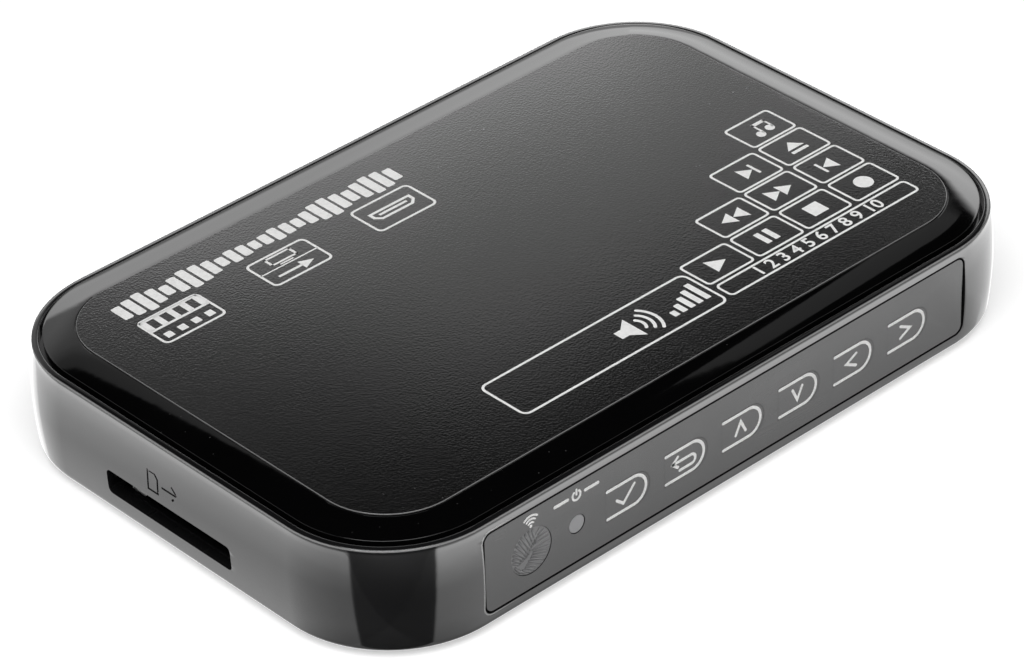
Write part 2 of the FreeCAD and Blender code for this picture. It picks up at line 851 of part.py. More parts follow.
def usb_tongue():
    """The insulator: a block that fills the shell's back and a tongue above its middle."""
    back = socket_face_y - usb_depth
    inner = usb_height - 2 * shell_thickness
    filler = upright(usb_width - 2 * shell_thickness, inner, shell_thickness, usb_x, usb_z,
                     back, back + usb_block_depth)
    top = usb_z + usb_tongue_thickness + usb_tongue_lift
    half = usb_width / 2 - shell_thickness - usb_tongue_side
    tongue = block(usb_x - half, usb_x + half, back + usb_block_depth, socket_face_y - usb_tongue_set_in,
                   top - usb_tongue_thickness, top)
    return fused([filler, tongue])


def hdmi_outline(width, height, chamfer):
    """A rectangle with its two lower corners cut off, facing +Z."""
    x = width / 2
    y = height / 2
    return polygon([V(chamfer - x, -y, 0), V(x - chamfer, -y, 0), V(x, chamfer - y, 0),
                    V(x, y, 0), V(-x, y, 0), V(-x, chamfer - y, 0)])


def hdmi_shell():
    back = socket_face_y - hdmi_depth
    outer = facing_y(hdmi_outline(hdmi_width, hdmi_height, hdmi_chamfer), hdmi_x, hdmi_z,
                     back, socket_face_y)
    inner = facing_y(hdmi_outline(hdmi_width - 2 * shell_thickness, hdmi_height - 2 * shell_thickness,
                                  hdmi_chamfer), hdmi_x, hdmi_z, -clear, clear)
    return outer.cut(inner)


def hdmi_tongue():
    back = socket_face_y - hdmi_depth
    filler = facing_y(hdmi_outline(hdmi_width - 2 * shell_thickness, hdmi_height - 2 * shell_thickness,
                                   hdmi_chamfer), hdmi_x, hdmi_z, back, back + hdmi_block_depth)
    width = hdmi_width - 2 * shell_thickness - 2 * hdmi_tongue_side
    tongue = upright(width, hdmi_tongue_thickness, hdmi_tongue_thickness / 3, hdmi_x, hdmi_z,
                     back + hdmi_block_depth, socket_face_y - hdmi_tongue_set_in)
    return fused([filler, tongue])


def vga_outline(width, height, radius):
    """A D of a shell whose sides lean in towards the bottom, facing +Z."""
    y = height / 2
    lean = height * tan(radians(vga_shell_slope)) / 2
    x = width / 2 - lean
    face = polygon([V(lean - x, -y, 0), V(x - lean, -y, 0), V(x + lean, y, 0), V(-x - lean, y, 0)])
    prism = face.extrude(V(0, 0, 1))
    uprights = [edge for edge in prism.Edges if abs(edge.tangentAt(edge.FirstParameter).z) > 0.9]
    rounded = prism.makeFillet(radius, uprights)
    return [found for found in rounded.Faces if found.normalAt(0, 0).z < -0.9][0]


def vga_shell():
    outer = facing_y(vga_outline(vga_shell_width, vga_shell_height, vga_shell_radius), vga_x, vga_z,
                     vga_flange_y, socket_face_y)
    inner = facing_y(vga_outline(vga_shell_width - 2 * shell_thickness,
                                 vga_shell_height - 2 * shell_thickness,
                                 vga_shell_radius - shell_thickness), vga_x, vga_z, -clear, clear)
    flange = upright(vga_flange_width, vga_flange_height, 1, vga_x, vga_z,
                     vga_flange_y - vga_flange_thickness, vga_flange_y)
    holes = [rod(vga_post_bore, -clear, clear, x, vga_z) for x in vga_post_places()]
    return cut(fused([outer, flange]), [inner] + holes)


def vga_post_places():
    return [vga_x - vga_post_spacing / 2, vga_x + vga_post_spacing / 2]


def vga_insert():
    """The insulator that fills the shell, with a socket for each pin."""
    width = vga_shell_width - 2 * shell_thickness
    height = vga_shell_height - 2 * shell_thickness
    face_y = socket_face_y - vga_insert_set_in
    solid = facing_y(vga_outline(width, height, vga_shell_radius - shell_thickness), vga_x, vga_z,
                     vga_flange_y - vga_flange_thickness, face_y)
    holes = []
    for row in range(vga_pin_rows):
        shift = vga_pin_pitch / 4 if row % 2 else -vga_pin_pitch / 4
        for number in range(vga_pins_in_row):
            x = vga_x + (number - (vga_pins_in_row - 1) / 2) * vga_pin_pitch + shift
            z = vga_z + (row - (vga_pin_rows - 1) / 2) * vga_row_pitch
            holes.append(rod(vga_pin_hole, face_y - vga_pin_hole_depth, clear, x, z))
    return cut(solid, holes)


def vga_body():
    return upright(vga_flange_width, vga_flange_height, 1, vga_x, vga_z,
                   vga_back_y, vga_flange_y - vga_flange_thickness)


def vga_posts():
    """Six-sided posts with a threaded bore for the plug's thumbscrews."""
    posts = []
    for x in vga_post_places():
        corner = V(vga_post_radius, 0, 0)
        turn = FreeCAD.Rotation(UP, 60)
        points = []
        for side in range(6):
            points.append(V(corner))
            corner = turn.multVec(corner)
        body = facing_y(polygon(points), x, vga_z, vga_flange_y, vga_flange_y + vga_post_length)
        posts.append(body.cut(rod(vga_post_bore, -clear, clear, x, vga_z)))
    return posts


def av_socket():
    half = av_body_width / 2
    body = block(av_x - half, av_x + half, socket_face_y - av_body_depth,
                 socket_face_y - av_collar_length, board_top_z, av_z + half)
    return body.cut(rod(av_bore_radius, socket_face_y - av_body_depth, clear, av_x, av_z))


def av_collar():
    ring = rod(av_collar_radius, socket_face_y - av_collar_length, socket_face_y, av_x, av_z)
    return ring.cut(rod(av_bore_radius, -clear, clear, av_x, av_z))


groups = {
    "rubber_feet": rubber_feet(),
    "case_screws": case_screws(),
    "board_screws": board_screws(),
    "card_contacts": card_contacts(),
    "memory_chips": memory_chips(),
    "inductors": inductors(),
    "capacitors": capacitors(),
    "vga_posts": vga_posts(),
}
singles = {
    "lower_casing": lower_casing(),
    "top_cover": top_cover(),
    "top_plate": top_plate(),
    "front_panel": front_panel(),
    "receiver_window": receiver_window(),
    "lamp_lens": lamp_lens(),
    "main_board": main_board(),
    "remote_receiver": remote_receiver(),
    "power_led": power_led(),
    "card_socket_frame": card_socket_frame(),
    "card_socket_shield": card_socket_shield(),
    "card_ejector": card_ejector(),
    "ejector_spring": ejector_spring(),
    "processor": chip(processor_x, processor_y, processor_side, processor_side, processor_height),
    "thermal_pad": thermal_pad(),
    "heat_sink": heat_sink(),
    "flash_chip": chip(flash_x, flash_y, flash_length, flash_width, chip_height),
    "voltage_regulator": chip(regulator_x, row_y, regulator_side, regulator_side,
                              regulator_height),
    "crystal": crystal(),
    "power_socket": power_socket(),
    "power_socket_pin": power_socket_pin(),
    "usb_shell": usb_shell(),
    "usb_tongue": usb_tongue(),
    "hdmi_shell": hdmi_shell(),
    "hdmi_tongue": hdmi_tongue(),
    "vga_shell": vga_shell(),
    "vga_insert": vga_insert(),
    "vga_body": vga_body(),
    "av_socket": av_socket(),
    "av_collar": av_collar(),
}

for name, shape in singles.items():
    export(name, shape)
for name, solids in groups.items():
    export(name, Part.makeCompound(solids))
for index, name in enumerate(key_names):
    export(name + "_key", key(index))
    export(name + "_switch", switch_housing(index))
    export(name + "_plunger", switch_plunger(index))
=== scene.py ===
import bpy
import bmesh
from math import atan2, cos, hypot, pi, radians, sin, tan
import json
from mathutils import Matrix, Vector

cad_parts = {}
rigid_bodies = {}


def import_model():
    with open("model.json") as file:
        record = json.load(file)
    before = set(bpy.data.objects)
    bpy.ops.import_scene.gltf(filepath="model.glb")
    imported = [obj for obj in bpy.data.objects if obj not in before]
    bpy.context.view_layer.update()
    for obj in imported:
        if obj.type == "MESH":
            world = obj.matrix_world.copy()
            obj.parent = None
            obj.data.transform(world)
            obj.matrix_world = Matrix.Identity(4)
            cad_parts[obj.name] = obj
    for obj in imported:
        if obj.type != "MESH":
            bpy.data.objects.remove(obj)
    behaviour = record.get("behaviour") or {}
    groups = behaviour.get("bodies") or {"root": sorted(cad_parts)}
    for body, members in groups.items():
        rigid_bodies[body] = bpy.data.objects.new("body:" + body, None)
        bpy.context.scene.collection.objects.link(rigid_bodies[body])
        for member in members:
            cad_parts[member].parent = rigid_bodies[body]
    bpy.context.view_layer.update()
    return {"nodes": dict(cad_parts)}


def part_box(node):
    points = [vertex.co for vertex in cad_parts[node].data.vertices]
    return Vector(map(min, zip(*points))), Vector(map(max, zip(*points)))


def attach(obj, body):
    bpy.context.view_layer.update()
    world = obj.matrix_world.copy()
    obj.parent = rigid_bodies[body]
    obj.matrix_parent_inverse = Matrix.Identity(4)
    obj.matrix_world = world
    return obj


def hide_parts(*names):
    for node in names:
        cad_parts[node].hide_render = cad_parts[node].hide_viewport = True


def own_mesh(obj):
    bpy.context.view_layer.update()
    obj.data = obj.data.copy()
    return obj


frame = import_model()

# ------------------------------
# Lower casing: a deep tray injection-moulded in black ABS and polished.
# Its side wall swells a little between the base and the rim, which stands
# round the cover. The slot, the panel's seat and the socket openings are cut
# through it. Everything else is fixed in it or to it.
# ------------------------------
mm = 0.001
X, Y, Z = 0, 1, 2          # the axes, by number
case_length = 126.0
case_width = 82.1
corner_radius = 17.7
base_z = 0.8
floor_z = 2.6
ledge_z = 16.2
rim_z = 17.4
wall = 2.2
front_rim_y = -case_width / 2
end_rim_x = case_length / 2


def object_mode():
    if bpy.context.mode != "OBJECT":
        bpy.ops.object.mode_set(mode="OBJECT")


def work_on(piece):
    """Deselects everything, then makes this piece the one that is edited."""
    object_mode()
    bpy.ops.object.select_all(action="DESELECT")
    piece.select_set(True)
    bpy.context.view_layer.objects.active = piece


def edit(piece, kind="VERT"):
    work_on(piece)
    bpy.ops.object.mode_set(mode="EDIT")
    bpy.ops.mesh.select_mode(type=kind)
    bpy.ops.mesh.select_all(action="DESELECT")


def edit_all(piece):
    edit(piece)
    bpy.ops.mesh.select_all(action="SELECT")


def shift(x, y, z):
    """Moves what is selected in edit mode, in millimetres."""
    bpy.ops.transform.translate(value=(x * mm, y * mm, z * mm))


def pull(x, y, z):
    """Extrudes what is selected in edit mode, in millimetres."""
    step = (x * mm, y * mm, z * mm)
    bpy.ops.mesh.extrude_region_move(TRANSFORM_OT_translate={"value": step})


def pick(piece, kind, test):
    """In edit mode, selects the corners, edges or faces that pass the test."""
    bpy.ops.mesh.select_mode(type=kind)
    bpy.ops.mesh.select_all(action="DESELECT")
    shape = bmesh.from_edit_mesh(piece.data)
    parts = {"VERT": shape.verts, "EDGE": shape.edges, "FACE": shape.faces}[kind]
    for part in parts:
        if test(part):
            part.select_set(True)
    shape.select_flush_mode()
    bmesh.update_edit_mesh(piece.data)


def middle(edge):
    return (edge.verts[0].co + edge.verts[1].co) / 2 / mm


def along(edge, axis):
    """True for an edge that runs along X, Y or Z (0, 1 or 2)."""
    run = edge.verts[1].co - edge.verts[0].co
    return abs(run[axis]) > 0.999 * run.length


def settle(piece):
    """Applies place, turn and size, so that the object sits at the origin."""
    work_on(piece)
    bpy.ops.object.transform_apply(location=True, rotation=True, scale=True)


def newest(name):
    """Names the primitive that was just added, and settles it."""
    piece = bpy.context.object
    piece.name = piece.data.name = name
    settle(piece)
    return piece


def finish_modifiers(piece):
    work_on(piece)
    for modifier in list(piece.modifiers):
        bpy.ops.object.modifier_apply(modifier=modifier.name)


def start_dot(name, place):
    """A single corner at a place, to draw a line from."""
    bpy.ops.object.select_all(action="DESELECT")
    bpy.ops.mesh.primitive_plane_add(size=mm, location=[value * mm for value in place])
    piece = newest(name)
    edit_all(piece)
    bpy.ops.mesh.merge(type="CENTER")
    return piece


def draw_on(points):
    """Extrudes the selected corner from point to point, in millimetres."""
    for last, point in zip(points, points[1:]):
        pull(*[b - a for a, b in zip(last, point)])


def arc(start, via, end, steps):
    """Points of the arc through three points, without its first."""
    (ax, ay), (bx, by), (cx, cy) = start, via, end
    d = 2 * (ax * (by - cy) + bx * (cy - ay) + cx * (ay - by))
    a, b, c = ax * ax + ay * ay, bx * bx + by * by, cx * cx + cy * cy
    mx = (a * (by - cy) + b * (cy - ay) + c * (ay - by)) / d
    my = (a * (cx - bx) + b * (ax - cx) + c * (bx - ax)) / d
    radius = hypot(ax - mx, ay - my)
    first = atan2(ay - my, ax - mx)
    turn = atan2(cy - my, cx - mx) - first
    turn = (turn + pi) % (2 * pi) - pi
    return [(mx + radius * cos(first + turn * n / steps), my + radius * sin(first + turn * n / steps))
            for n in range(1, steps + 1)]


def sweep_round(name, section, bays_x, bays_y, steps):
    """Draws a section on the front rim line and takes it all the way round the
    casing: straight runs are extruded in bays, and the corners are spun."""
    straight_x = end_rim_x - corner_radius
    straight_y = -front_rim_y - corner_radius
    points = [(-straight_x, front_rim_y - out, z) for out, z in section]
    piece = start_dot(name, points[0])
    draw_on(points)
    bpy.ops.mesh.select_all(action="SELECT")
    corners = [(straight_x, -straight_y), (straight_x, straight_y),
               (-straight_x, straight_y), (-straight_x, -straight_y)]
    runs = [(1, 0, 2 * straight_x, bays_x), (0, 1, 2 * straight_y, bays_y),
            (-1, 0, 2 * straight_x, bays_x), (0, -1, 2 * straight_y, bays_y)]
    for (dx, dy, run, bays), (cx, cy) in zip(runs, corners):
        for bay in range(bays):
            pull(dx * run / bays, dy * run / bays, 0)
        bpy.ops.mesh.spin(steps=steps, angle=-pi / 2, center=(cx * mm, cy * mm, 0), axis=(0, 0, 1))
    bpy.ops.mesh.select_all(action="SELECT")
    bpy.ops.mesh.remove_doubles(threshold=0.002 * mm)
    return piece


def fill_ring(piece, z):
    """Closes the open ring of edges at a height."""
    pick(piece, "EDGE", lambda e: e.is_boundary and abs(middle(e).z - z) < 0.01)
    bpy.ops.mesh.edge_face_add()


def face_out(piece):
    edit_all(piece)
    bpy.ops.mesh.normals_make_consistent(inside=False)
    object_mode()


def joined(pieces):
    """Makes several pieces one, under the name of the first."""
    work_on(pieces[0])
    for piece in pieces:
        piece.select_set(True)
    bpy.ops.object.join()
    return pieces[0]


def copied_along(first, moves):
    """The piece and a copy of it for each move, each with its own mesh."""
    pieces = [first]
    for move in moves:
        copy = first.copy()
        copy.data = first.data.copy()
        bpy.context.collection.objects.link(copy)
        edit_all(copy)
        shift(*move)
        object_mode()
        pieces.append(copy)
    return pieces


def rounded_block(name, low, high, axis, radius, segments=8):
    """A block whose four edges along one axis are rounded."""
    bpy.ops.object.select_all(action="DESELECT")
    place = [(a + b) / 2 * mm for a, b in zip(low, high)]
    size = [(b - a) * mm for a, b in zip(low, high)]
    bpy.ops.mesh.primitive_cube_add(size=1, location=place, scale=size)
    piece = newest(name)
    if radius:
        edit(piece)
        pick(piece, "EDGE", lambda e: along(e, axis))
        bpy.ops.mesh.bevel(offset=radius * mm, segments=segments, affect="EDGES")
        object_mode()
    return piece


def block_about(name, place, half, inset, low_y, high_y, radius, segments):
    """A block along Y about a place in X and Z, of these half sizes less the inset."""
    (x, z), half_x, half_z = place, half[0] - inset, half[1] - inset
    return rounded_block(name, (x - half_x, low_y, z - half_z), (x + half_x, high_y, z + half_z), Y,
                         radius, segments)


def round_bar(name, centre, radius, low, high, axis, sides=64):
    """A round bar along X, Y or Z between two places on that axis."""
    bpy.ops.object.select_all(action="DESELECT")
    place = list(centre)
    place.insert(axis, (low + high) / 2)
    turn = [(0, pi / 2, 0), (pi / 2, 0, 0), (0, 0, 0)][axis]
    bpy.ops.mesh.primitive_cylinder_add(vertices=sides, radius=radius * mm, depth=(high - low) * mm,
                                        location=[value * mm for value in place], rotation=turn)
    return newest(name)


def combine(piece, tool, operation):
    """Works a tool into the piece, then throws the tool away."""
    modifier = piece.modifiers.new("tool", "BOOLEAN")
    modifier.operation = operation
    modifier.solver = "EXACT"
    modifier.object = tool
    finish_modifiers(piece)
    bpy.data.objects.remove(tool)


def cut_away(piece, tools):
    for tool in tools:
        combine(piece, tool, "DIFFERENCE")


def soften(piece, width, segments=2, angle=38):
    """Rounds the edges that are left sharp, and shades the piece smooth."""
    modifier = piece.modifiers.new("soften", "BEVEL")
    modifier.width = width * mm
    modifier.segments = segments
    modifier.limit_method = "ANGLE"
    modifier.angle_limit = radians(angle)
    modifier.use_clamp_overlap = True
    modifier.miter_outer = "MITER_ARC"
    finish_modifiers(piece)
    bpy.ops.object.shade_smooth_by_angle(angle=radians(35))
    modifier = piece.modifiers.new("even", "WEIGHTED_NORMAL")
    modifier.keep_sharp = True
    finish_modifiers(piece)


# The section: how far out from the rim line, and how high. The crowned lip of
# the rim meets the swelling wall, which turns under in a small arc.
rim_lip = [(-1.0, -0.1), (-0.93, -0.02), (-0.85, 0), (-0.6, -0.01), (-0.37, -0.045), (-0.21, -0.1),
           (-0.1, -0.17), (-0.03, -0.28), (0.01, -0.39)]
section = [(-wall, floor_z), (-wall, ledge_z), (-1.0, ledge_z)]
section += [(out, rim_z + rise) for out, rise in rim_lip]
section += [point for point in arc((0, rim_z), (0.574, 8.8), (0.2, 2.1), 22) if point[1] < 17.0]
section += arc((0.2, 2.1), (-0.181, 1.181), (-1.1, base_z), 7)
casing = sweep_round("casing", section, 12, 9, 20)
fill_ring(casing, floor_z)
fill_ring(casing, base_z)
face_out(casing)

panel_low, panel_high = (-45.3, 3.2), (46.1, 15.68)
panel_face_y = -41.25
panel_back_y = -39.85
far = 60.0                 # past the front, the back and the top, for tools that cut right through
past = 0.05                # how far a way runs on past the wall's inner face
tools = [
    rounded_block("seat", (panel_low[0] - 0.36, -far, panel_low[1] - 0.24),
                  (panel_high[0] + 0.27, panel_back_y, panel_high[1] + 0.27), Y, 1.5, 6),
    rounded_block("window", (panel_low[0] + 0.9, -far, panel_low[1] + 0.9),
                  (panel_high[0] - 0.9, front_rim_y + wall + past, panel_high[1] - 0.9), Y, 1.3, 6),
    rounded_block("slot", (-80, -11.75, 4.15), (-end_rim_x + wall + past, 13.75, 8.05), X, 0.8, 6),
]
# The back's sockets, in X and Z: their middles, and the radii or the half sizes
# of what shows of them. Each way is wider than that by the same gap.
back_in_y = -front_rim_y - wall - past
way_gap = 0.25
power_place, power_radius = (-38.0, 9.5), 3.05
sound_place, sound_radius = (41.6, 8.7), 2.75
usb_place, usb_half = (-24.05, 8.4), (6.6, 2.9)
video_place, video_half = (-6.6, 8.35), (7.5, 2.85)
monitor_place, flange_half = (19.65, 9.4), (15.4, 6.2)
tools += [round_bar("way", place, radius + way_gap, back_in_y, far, Y)
          for place, radius in ((power_place, power_radius), (sound_place, sound_radius))]
tools += [block_about("way", place, half, -way_gap, back_in_y, far, 0.25, 3)
          for place, half in ((usb_place, usb_half), (video_place, video_half),
                              (monitor_place, flange_half))]
screw_places = [(x, y) for y in (-30.2, 30.2) for x in (-52.5, 52.5)]
screw_radius, screw_seat_z = 2.0, 2.45
foot_places = [(x, y) for y in (-25, 25) for x in (-41, 41)]
foot_radius, foot_top_z = 4.46, 1.3
tools += [round_bar("screw_way", place, screw_radius + 0.2, 0.2, screw_seat_z, Z, 48)
          for place in screw_places]
tools += [round_bar("foot_pocket", place, foot_radius + 0.04, 0.2, foot_top_z, Z)
          for place in foot_places]
cut_away(casing, tools)
soften(casing, 0.16)

# Over the slot a plain sign is sunk in the wall: a card with a cut corner, and
# an arrow that shows which way it goes.
card_lines = [((-4.7, 9.4), (-4.7, 12.4)), ((-4.7, 12.4), (-3.3, 12.4)), ((-3.3, 12.4), (-2.7, 11.7)),
              ((-2.7, 11.7), (-2.7, 9.4)), ((-2.7, 9.4), (-4.7, 9.4)), ((-1.7, 10.9), (1.2, 10.9)),
              ((1.4, 10.9), (0.3, 11.9)), ((1.4, 10.9), (0.3, 9.9))]
grooves = []
for (ay, az), (by, bz) in card_lines:
    bpy.ops.object.select_all(action="DESELECT")
    bpy.ops.mesh.primitive_cube_add(size=1, location=(-63.6 * mm, (ay + by) / 2 * -mm, (az + bz) / 2 * mm),
                                    rotation=(atan2(bz - az, ay - by), 0, 0),
                                    scale=(0.4 * mm, (hypot(by - ay, bz - az) + 0.3) * mm, 0.32 * mm))
    grooves.append(newest("groove"))
cut_away(casing, grooves)


def node(tree, kind, values=None, **settings):
    """Adds a shader node, with its settings and the values of its sockets."""
    made = tree.nodes.new(kind)
    for name, value in settings.items():
        setattr(made, name, value)
    for name, value in (values or {}).items():
        made.inputs[name].default_value = value
    return made


def effect(name, inputs, outputs):
    """An empty node group for an effect that several finishes use."""
    group = bpy.data.node_groups.new(name, "ShaderNodeTree")
    for label, value in inputs:
        socket = group.interface.new_socket(name=label, in_out="INPUT", socket_type="NodeSocketFloat")
        socket.default_value = value
    for label in outputs:
        group.interface.new_socket(name=label, in_out="OUTPUT", socket_type="NodeSocketFloat")
    return group, node(group, "NodeGroupInput"), node(group, "NodeGroupOutput")


def ramp_between(tree, source, low, high, to_low=0.0, to_high=1.0):
    """Stretches a value's range between two levels, and holds it outside them."""
    made = node(tree, "ShaderNodeMapRange", {"From Min": low, "From Max": high,
                                             "To Min": to_low, "To Max": to_high})
    tree.links.new(source, made.inputs["Value"])
    return made.outputs["Result"]


def sum_of(tree, operation, first, second):
    """A Math node on two sockets or numbers."""
    made = node(tree, "ShaderNodeMath", operation=operation)
    for number, value in enumerate((first, second)):
        if isinstance(value, (int, float)):
            made.inputs[number].default_value = value
        else:
            tree.links.new(value, made.inputs[number])
    return made.outputs[0]


def times(tree, first, *rest):
    """The product of several sockets or numbers."""
    for value in rest:
        first = sum_of(tree, "MULTIPLY", first, value)
    return first


def object_place(tree):
    return node(tree, "ShaderNodeTexCoord").outputs["Object"]


def axes_of(tree, source):
    """The X, Y and Z outputs of a vector."""
    split = node(tree, "ShaderNodeSeparateXYZ")
    tree.links.new(source, split.inputs[0])
    return split.outputs


def band(tree, source, start, full, last, end):
    """Rises from 0 at start to 1 at full, and falls from 1 at last to 0 at end."""
    return times(tree, ramp_between(tree, source, start, full),
                 ramp_between(tree, source, last, end, 1.0, 0.0))


def noise(tree, place, scale, detail=2.0, roughness=0.5):
    made = node(tree, "ShaderNodeTexNoise", {"Scale": scale, "Detail": detail, "Roughness": roughness})
    tree.links.new(place, made.inputs["Vector"])
    return made.outputs["Fac"]


# Polish: the haze that handling leaves on a polished face, and its faint ripple.
polish, given, result = effect("polish", [("Haze", 0.08), ("Smudge", 0.06), ("Ripple", 0.2)],
                               ["Roughness", "Height"])
place = object_place(polish)
wiped = ramp_between(polish, noise(polish, place, 55.0, 4.0, 0.6), 0.42, 0.72)
streak = node(polish, "ShaderNodeMapping", {"Rotation": (0.3, 0.2, 0.7), "Scale": (40.0, 420.0, 120.0)})
polish.links.new(place, streak.inputs["Vector"])
streaked = ramp_between(polish, noise(polish, streak.outputs["Vector"], 1.0, 3.0), 0.5, 0.8)
smudge = times(polish, sum_of(polish, "ADD", wiped, times(polish, streaked, 0.5)), given.outputs["Smudge"])
polish.links.new(sum_of(polish, "ADD", given.outputs["Haze"], smudge), result.inputs["Roughness"])
ripple = times(polish, noise(polish, place, 260.0), given.outputs["Ripple"])
polish.links.new(ripple, result.inputs["Height"])

# Dust: specks that lie on faces which look up, thicker in some places.
dust, given, result = effect("dust", [("Amount", 0.5)], ["Mask"])
place = object_place(dust)
speck = node(dust, "ShaderNodeTexVoronoi", {"Scale": 700.0})
dust.links.new(place, speck.inputs["Vector"])
specks = ramp_between(dust, speck.outputs["Distance"], 0.05, 0.09, 1.0, 0.0)
patches = ramp_between(dust, noise(dust, place, 90.0, 3.0), 0.56, 0.66)
facing = axes_of(dust, node(dust, "ShaderNodeNewGeometry").outputs["Normal"])
upward = ramp_between(dust, facing["Z"], 0.2, 0.9)
dust.links.new(times(dust, specks, patches, upward, given.outputs["Amount"]), result.inputs["Mask"])

# Worn edge: edges that handling has rubbed a little paler.
worn, given, result = effect("worn_edge", [("Amount", 0.5)], ["Mask"])
place = object_place(worn)
edge = ramp_between(worn, node(worn, "ShaderNodeNewGeometry").outputs["Pointiness"], 0.53, 0.62)
patchy = ramp_between(worn, noise(worn, place, 130.0, 3.0), 0.4, 0.7, 0.25, 1.0)
worn.links.new(times(worn, edge, patchy, given.outputs["Amount"]), result.inputs["Mask"])


def new_finish(name, metallic=0.0):
    """A material with a plain shader, to be joined up."""
    finish = bpy.data.materials.get(name) or bpy.data.materials.new(name)
    finish.use_nodes = True
    tree = finish.node_tree
    tree.nodes.clear()
    shader = node(tree, "ShaderNodeBsdfPrincipled", {"Metallic": metallic, "IOR": 1.5})
    out = node(tree, "ShaderNodeOutputMaterial")
    tree.links.new(shader.outputs["BSDF"], out.inputs["Surface"])
    return finish, tree, shader


def use_effect(tree, group, **values):
    made = node(tree, "ShaderNodeGroup", node_tree=group)
    for label, value in values.items():
        made.inputs[label].default_value = value
    return made


def mix_colour(tree, factor, first, second):
    """A Mix node between two colours; each is a socket or three numbers."""
    made = node(tree, "ShaderNodeMix", data_type="RGBA")
    tree.links.new(factor, made.inputs["Factor"])
    for label, value in (("A", first), ("B", second)):
        socket = [s for s in made.inputs if s.name == label and s.type == "RGBA"][0]
        if isinstance(value, tuple):
            socket.default_value = (*value, 1.0)
        else:
            tree.links.new(value, socket)
    return [s for s in made.outputs if s.type == "RGBA"][0]


def bump(tree, shader, height, distance):
    made = node(tree, "ShaderNodeBump", {"Strength": 1.0, "Distance": distance * mm})
    tree.links.new(height, made.inputs["Height"])
    tree.links.new(made.outputs["Normal"], shader.inputs["Normal"])


def moulded(name, colour, haze, ripple, smudge=0.1, dusty=0.0, wear=0.0):
    """Moulded plastic: polish, dust and worn edges over a nearly even colour."""
    finish, tree, shader = new_finish(name)
    skin = use_effect(tree, polish, Haze=haze, Smudge=smudge, Ripple=ripple)
    place = object_place(tree)
    tone = ramp_between(tree, noise(tree, place, 70.0, 3.0), 0.3, 0.7)
    flow = mix_colour(tree, tone, tuple(c * 0.85 for c in colour), tuple(c * 1.15 for c in colour))
    rubbed = use_effect(tree, worn, Amount=wear).outputs["Mask"]
    edges = mix_colour(tree, rubbed, flow, tuple(min(1.0, c * 1.6 + 0.03) for c in colour))
    specks = use_effect(tree, dust, Amount=dusty).outputs["Mask"]
    tree.links.new(mix_colour(tree, specks, edges, (0.45, 0.45, 0.44)), shader.inputs["Base Color"])
    rough = sum_of(tree, "ADD", skin.outputs["Roughness"], times(tree, specks, 0.4))
    tree.links.new(sum_of(tree, "MINIMUM", rough, 1.0), shader.inputs["Roughness"])
    bump(tree, shader, skin.outputs["Height"], 0.02)
    return finish


def shader_of(finish):
    return [n for n in finish.node_tree.nodes if n.type == "BSDF_PRINCIPLED"][0]


def repaint(finish, mask, colour):
    """Puts another colour over a finish where the mask is 1."""
    socket = shader_of(finish).inputs["Base Color"]
    plain = socket.links[0].from_socket
    finish.node_tree.links.new(mix_colour(finish.node_tree, mask, plain, colour), socket)


def dress(piece, finish):
    """Gives a piece or a CAD node one finish all over."""
    piece.data.materials.clear()
    piece.data.materials.append(finish)


def fit_out(piece, finish, cad_node=None, body="player"):
    """Gives a piece its finish and the body that it moves with, and hides the
    CAD node whose place it takes."""
    dress(piece, finish)
    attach(piece, body)
    if cad_node:
        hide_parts(cad_node)


casing_black = moulded("casing_black", (0.008, 0.008, 0.0084), haze=0.06, ripple=0.5, smudge=0.05,
                       dusty=0.15, wear=0.1)
# The rim's outer edge gets a pale line, a painted highlight, and so does the lip
# round the left end of the panel's seat: a band beyond its rounded corners.
lip_highlight_radius, lip_highlight_width = 0.0015, 0.0002
tree = casing_black.node_tree
at = axes_of(tree, object_place(tree))
painted_rim_highlight = band(tree, at["Z"], 0.01703, 0.01709, 0.01722, 0.01728)
beside = sum_of(tree, "MAXIMUM", sum_of(tree, "SUBTRACT", -0.04416, at["X"]), 0.0)
beyond = sum_of(tree, "MAXIMUM", sum_of(tree, "SUBTRACT", 0.00446, at["Z"]),
                sum_of(tree, "SUBTRACT", at["Z"], 0.01445))
beyond = sum_of(tree, "MAXIMUM", beyond, 0.0)
square = sum_of(tree, "ADD", times(tree, beside, beside), times(tree, beyond, beyond))
way = sum_of(tree, "SQRT", square, 0.0)
painted_lip_highlight = times(tree, band(tree, way, lip_highlight_radius, lip_highlight_radius + 0.00003, lip_highlight_radius + lip_highlight_width,
                            lip_highlight_radius + lip_highlight_width + 0.00006),
                 ramp_between(tree, at["X"], -0.0445, -0.039, 1.0, 0.0),
                 ramp_between(tree, at["Y"], -0.0408, -0.0406, 1.0, 0.0))
# Both pale grey lines are painted highlights.
repaint(casing_black, sum_of(tree, "MAXIMUM", painted_rim_highlight, painted_lip_highlight), (0.26, 0.26, 0.26))
fit_out(casing, casing_black, "lower_casing")

# ------------------------------
# Main board: 1.2 mm glass-fibre board under a green solder mask, which rests
# on the casing's four standoffs and is held by four small steel screws.
# ------------------------------
nodes = frame["nodes"]


def printed_board(name, mask, copper):
    """Solder mask over straight copper tracks and a fine glass weave."""
    finish, tree, shader = new_finish(name)
    place = object_place(tree)
    tracks = node(tree, "ShaderNodeTexBrick", {"Scale": 260.0, "Mortar Size": 0.035, "Brick Width": 1.7,
                                               "Row Height": 0.22}, offset=0.37)
    tree.links.new(place, tracks.inputs["Vector"])
    broken = ramp_between(tree, noise(tree, place, 120.0, 1.0), 0.46, 0.5)
    lines = times(tree, tracks.outputs["Fac"], broken)
    tree.links.new(mix_colour(tree, lines, mask, copper), shader.inputs["Base Color"])
    weave = noise(tree, place, 2500.0, 1.0)
    tree.links.new(ramp_between(tree, weave, 0.2, 0.8, 0.22, 0.4), shader.inputs["Roughness"])
    bump(tree, shader, lines, 0.03)
    return finish


